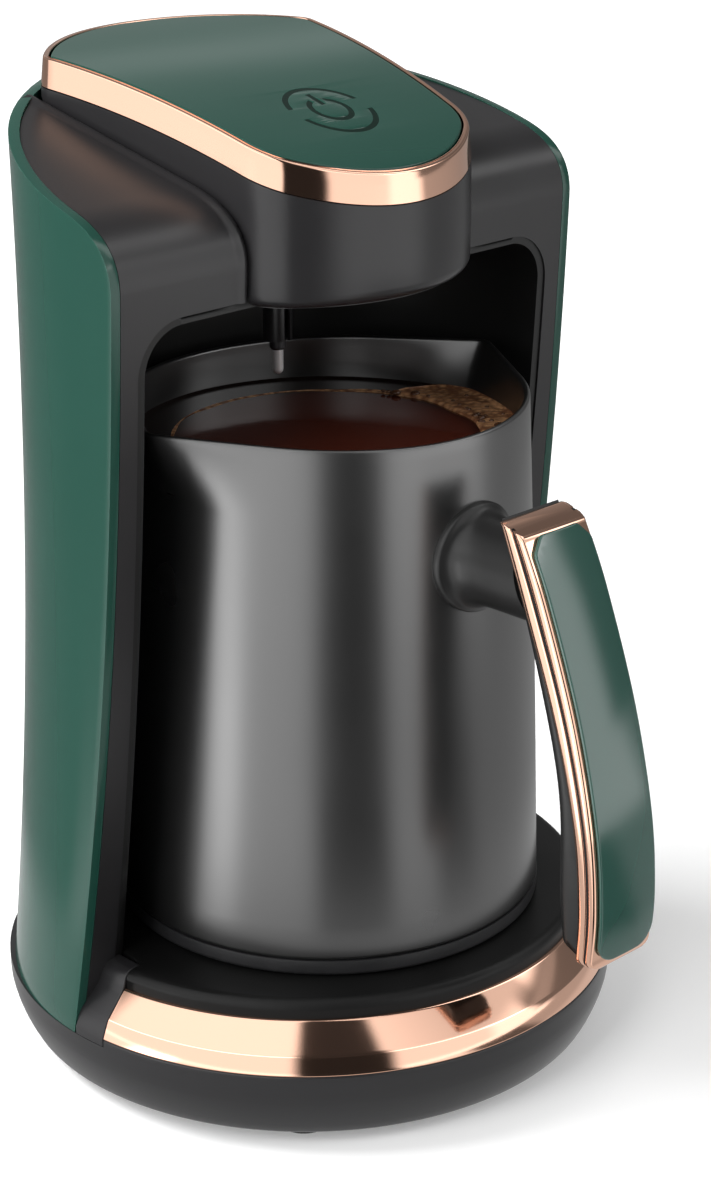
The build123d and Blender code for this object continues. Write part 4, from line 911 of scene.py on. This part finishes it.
def buildHandlePanel():
    # a flat outline with two cut corners is cut into strips, which are laid on the frame's front
    half, low, high, cut = grip["half"], grip["low"], grip["high"], grip["cut"]
    corners = [(half, low), (half, high - cut), (half - cut, high)]
    outline = corners + [(-x, z) for x, z in reversed(corners)]
    bm = bmesh.new()
    verts, edges = chainFrom(bm, [Vector((x, z, 0)) / 1000 for x, z in outline])
    bmesh.ops.contextual_create(bm, geom=edges)
    softenCorners(bm, [verts[0], verts[5]], *grip["lowRound"])
    softenCorners(bm, verts[1:5], *grip["cutRound"])
    strips, rows = grip["strips"], round((high - low) / grip["slice"])
    for i in range(1, strips):
        cutAt(bm, Vector((mix(-half, half, i / strips) / 1000, 0, 0)), Vector((1, 0, 0)))
    for i in range(1, rows):
        cutAt(bm, Vector((0, mix(low, high, i / rows) / 1000, 0)), Vector((0, 1, 0)))
    bmesh.ops.remove_doubles(bm, verts=bm.verts, dist=grip["weld"] / 1000)
    front = [alongLine(handle["panelLine"], i / grip["samples"]) for i in range(grip["samples"] + 1)]
    for vert in bm.verts:
        x, z = vert.co.x * 1000, vert.co.y * 1000
        crown = grip["crown"] * (x / half) ** 2
        vert.co = at(x, whereOn(front, z) - grip["proud"] + crown, z)
    piece = finishPiece("handlePanel", bm, "green_gloss", "jug", ["handle_outer_panel"], sharp=60,
                        merge=weld["fine"], outward=(0, -1, 0.2), finish=materials["greenHandle"])
    giveWall(piece, grip["proud"] - grip["crown"] - grip["gap"], grip["edge"], 3, even=False)
    evenShading(piece)


def placeOnArm(vert, row):
    # row: millimetres off the jug, share of the way to the grip, half width, half height
    off, share, halfWidth, halfHeight = row
    turn = atan2(vert.co.z - arm["midZ"] / 1000, vert.co.x)
    x, z = halfWidth * cos(turn), arm["midZ"] + halfHeight * sin(turn)
    near = -sqrt(jugRadius(z) ** 2 - x * x) - off
    return at(x, mix(near, whereOn(handle["gripLine"], z) - arm["bite"], share), z)


def buildArm():
    boss, wide, tall, end = arm["boss"], arm["halfWidth"], arm["halfHeight"], arm["neckEnd"]
    bm = bmesh.new()
    made = bmesh.ops.create_circle(bm, cap_ends=False, segments=arm["steps"], radius=1.0)
    for index, vert in enumerate(made["verts"]):
        turn = 2 * pi * index / arm["steps"]
        vert.co = Vector((cos(turn), 0, sin(turn) + arm["midZ"] / 1000))
    rows = [(off, 0, boss - less, boss - less) for off, less in arm["bossRows"]]
    rows += [(off, 0, mix(boss, wide, share), mix(boss, tall, share)) for off, share in arm["neckRows"]]
    rows += [(end, share, wide, tall) for share in (0, 0.3, 0.6, 1)]
    growShape(bm, rows, placeOnArm)
    finishPiece("handleArm", bm, "jug_black", "jug", ["handle_arm"], sharp=50,
                finish=materials["handleBlack"])


buildHandleFrame()
buildHandlePanel()
buildArm()
mergedCopy("handle_inner_shell", "handleInner", "jug_black", "jug", sharp=32, finish=materials["handleBlack"])

print("stage: room")
room = {"floorHalf": 3.0, "floorTone": 0.84, "floorRough": 0.9, "nearGlow": 0.21, "farGlow": 0.7,
        "worldLight": 0.42, "closeBright": 0.7, "closeEdge": (0.13, 0.18), "nearEdge": (0.44, 0.54),
        "glowEdge": (0.30, 1.2), "highEdge": (0.42, 0.56), "lineLow": (0.34, 0.37), "lineHigh": (0.41, 0.45),
        "lineGain": 2.2}
# how bright the room is for gloss, by degrees from +X: on the floor near and far, and low and high round it
roomPanels = {
    "near": ((0, 0.5), (92, 0.30), (138, 0.30), (146, 1.5), (164, 1.5), (168, 4.0), (178, 4.0), (182, 1.5),
             (217, 1.5), (221, 0.02), (254, 0.02), (257, 1.2), (276, 1.2), (282, 0.12), (299, 0.12),
             (304, 0.5), (360, 0.5)),
    "far": ((0, 0.35), (92, 0.25), (138, 0.25), (146, 2.0), (164, 2.0), (168, 4.0), (178, 4.0), (182, 2.0),
            (219, 2.0), (223, 0.03), (254, 0.03), (258, 2.0), (315, 1.8), (321, 0.5), (360, 0.35)),
    "low": ((0, 0.18), (22, 0.18), (42, 0.40), (92, 0.30), (138, 0.30), (146, 1.8), (219, 1.8), (223, 0.03),
            (254, 0.03), (258, 1.6), (292, 1.6), (297, 2.3), (313, 2.3), (318, 0.25), (360, 0.18)),
    "high": ((0, 0.18), (22, 0.18), (42, 0.40), (92, 0.30), (138, 0.30), (146, 2.0), (219, 2.0), (223, 0.05),
             (254, 0.05), (258, 1.6), (290, 1.1), (322, 1.1), (327, 3.2), (342, 3.2), (348, 0.25),
             (360, 0.18))}
lamps = {"keyLeft": {"place": (-1.15, -0.10, 0.75), "target": (0, 0, 0.12), "size": (0.7, 1.1), "power": 13},
         "fillRight": {"place": (0.7, -1.0, 0.6), "target": (0, 0, 0.12), "size": (0.5, 0.9), "power": 5},
         "topSoft": {"place": (-0.55, 0.6, 1.0), "target": (0, 0, 0.1), "size": (0.6, 0.6), "power": 16}}
camera = {"place": (-394.5, -411.0, 325.6), "tilt": 21.12, "turn": -44.47, "lens": 79.53, "sensor": 36.0,
          "near": 0.01}


def buildRoomPanels(name, panels):
    # a colour ramp round the object that reads a list of (degrees, brightness)
    group, given, out = newGroup(name, [("Vector", "Vector")], [("Bright", "Float")])
    parts = addNode(group, "SeparateXYZ", {"Vector": given["Vector"]})
    turn = addNode(group, "Math", {0: parts.outputs["Y"], 1: parts.outputs["X"]}, operation="ARCTAN2")
    whole = addNode(group, "Math", {0: turn.outputs[0], 1: 0.0, 2: 2 * pi}, operation="WRAP")
    share = addNode(group, "MapRange", {"Value": whole.outputs[0], "From Min": 0.0, "From Max": 2 * pi})
    ramp = addNode(group, "ValToRGB", {"Fac": share.outputs["Result"]})
    stops = ramp.color_ramp.elements
    stops.remove(stops[1])
    stops[0].position = 0.0
    for index, (degrees, bright) in enumerate(panels):
        stop = stops[0] if index == 0 else stops.new(degrees / 360)
        stop.color = (bright, bright, bright, 1)
    group.links.new(ramp.outputs["Color"], out["Bright"])
    return group


def placeRoomPanels(tree, panels, vector):
    return addNode(tree, "Group", {"Vector": vector}, node_tree=panels).outputs["Bright"]


def fadeOver(tree, value, edge, low, high):
    # runs from low to high while the value crosses the edge's two ends
    node = addNode(tree, "MapRange", {"Value": value, "From Min": edge[0], "From Max": edge[1]},
                   interpolation_type="SMOOTHSTEP")
    blend = addNode(tree, "Mix", {"Factor": node.outputs["Result"], "A": low, "B": high}, data_type="FLOAT")
    return blend.outputs["Result"]


def buildFloor(nearPanels, farPanels):
    bm = bmesh.new()
    bmesh.ops.create_grid(bm, x_segments=2, y_segments=2, size=room["floorHalf"])
    mesh = bpy.data.meshes.new("floor")
    bm.to_mesh(mesh)
    bm.free()
    floor = bpy.data.objects.new("floor", mesh)
    scene.collection.objects.link(floor)
    mat, tree, shader = newMaterial("paleFloor", {"Base Color": (*[room["floorTone"]] * 3, 1),
                                                  "Roughness": room["floorRough"], "Specular IOR Level": 0.0})
    place = addNode(tree, "TexCoord")
    path = addNode(tree, "LightPath")
    away = addNode(tree, "VectorMath", {0: place.outputs["Object"]}, operation="LENGTH").outputs["Value"]
    near = placeRoomPanels(tree, nearPanels, place.outputs["Object"])
    far = placeRoomPanels(tree, farPanels, place.outputs["Object"])
    close = fadeOver(tree, away, room["closeEdge"], room["closeBright"], near)
    bright = fadeOver(tree, away, room["nearEdge"], close, far)
    glow = fadeOver(tree, away, room["glowEdge"], room["nearGlow"], room["farGlow"])
    lift = addNode(tree, "Math", {0: path.outputs["Is Camera Ray"], 1: glow}, operation="MULTIPLY")
    seen = addNode(tree, "Emission", {"Strength": lift.outputs[0]})
    lit = addNode(tree, "AddShader", {0: shader.outputs[0], 1: seen.outputs[0]})
    gleam = addNode(tree, "Emission", {"Strength": bright})
    pick = addNode(tree, "MixShader", {0: path.outputs["Is Glossy Ray"], 1: lit.outputs[0],
                                       2: gleam.outputs[0]})
    tree.links.new(pick.outputs[0], tree.nodes["Material Output"].inputs["Surface"])
    mesh.materials.append(mat)


def buildWorld(lowPanels, highPanels):
    world = bpy.data.worlds.new("studio")
    scene.world = world
    world.use_nodes = True
    tree = world.node_tree
    place = addNode(tree, "TexCoord")
    path = addNode(tree, "LightPath")
    height = addNode(tree, "SeparateXYZ", {"Vector": place.outputs["Generated"]}).outputs["Z"]
    low = placeRoomPanels(tree, lowPanels, place.outputs["Generated"])
    high = placeRoomPanels(tree, highPanels, place.outputs["Generated"])
    both = fadeOver(tree, height, room["highEdge"], low, high)
    rise = fadeOver(tree, height, room["lineLow"], 1.0, room["lineGain"])
    fall = fadeOver(tree, height, room["lineHigh"], 1.0, 1 / room["lineGain"])
    line = addNode(tree, "Math", {0: rise, 1: fall}, operation="MULTIPLY").outputs[0]
    bright = addNode(tree, "Math", {0: both, 1: line}, operation="MULTIPLY").outputs[0]
    plain = tree.nodes["Background"]
    plain.inputs["Color"].default_value = (1, 1, 1, 1)
    plain.inputs["Strength"].default_value = room["worldLight"]
    seen = addNode(tree, "Background", {"Color": (1, 1, 1, 1), "Strength": 1.0})
    gleam = addNode(tree, "Background", {"Strength": bright})
    either = addNode(tree, "Math", {0: path.outputs["Is Camera Ray"], 1: path.outputs["Is Transmission Ray"]},
                     operation="MAXIMUM")
    mirrored = addNode(tree, "MixShader", {0: path.outputs["Is Glossy Ray"], 1: plain.outputs[0],
                                           2: gleam.outputs[0]})
    pick = addNode(tree, "MixShader", {0: either.outputs[0], 1: mirrored.outputs[0], 2: seen.outputs[0]})
    tree.links.new(pick.outputs[0], tree.nodes["World Output"].inputs["Surface"])


def softBox(name, values):
    data = bpy.data.lights.new(name, "AREA")
    data.shape = "RECTANGLE"
    data.size, data.size_y = values["size"]
    data.energy = values["power"]
    lamp = bpy.data.objects.new(name, data)
    scene.collection.objects.link(lamp)
    lamp.location = values["place"]
    lamp.visible_glossy = False         # gloss sees the room's panels instead
    toTarget = Vector(values["target"]) - Vector(values["place"])
    lamp.rotation_euler = toTarget.to_track_quat("-Z", "Y").to_euler()


def buildCamera():
    data = bpy.data.cameras.new("view")
    data.sensor_fit = "VERTICAL"
    data.sensor_height = camera["sensor"]
    data.lens = camera["lens"]
    data.clip_start = camera["near"]
    view = bpy.data.objects.new("view", data)
    scene.collection.objects.link(view)
    view.location = at(*camera["place"])
    view.rotation_euler = (radians(90 - camera["tilt"]), 0, radians(camera["turn"]))
    scene.camera = view


buildFloor(buildRoomPanels("nearRoom", roomPanels["near"]), buildRoomPanels("farRoom", roomPanels["far"]))
buildWorld(buildRoomPanels("lowRoom", roomPanels["low"]), buildRoomPanels("highRoom", roomPanels["high"]))
for name, values in lamps.items():
    softBox(name, values)
buildCamera()
scene.view_settings.view_transform = "Standard"
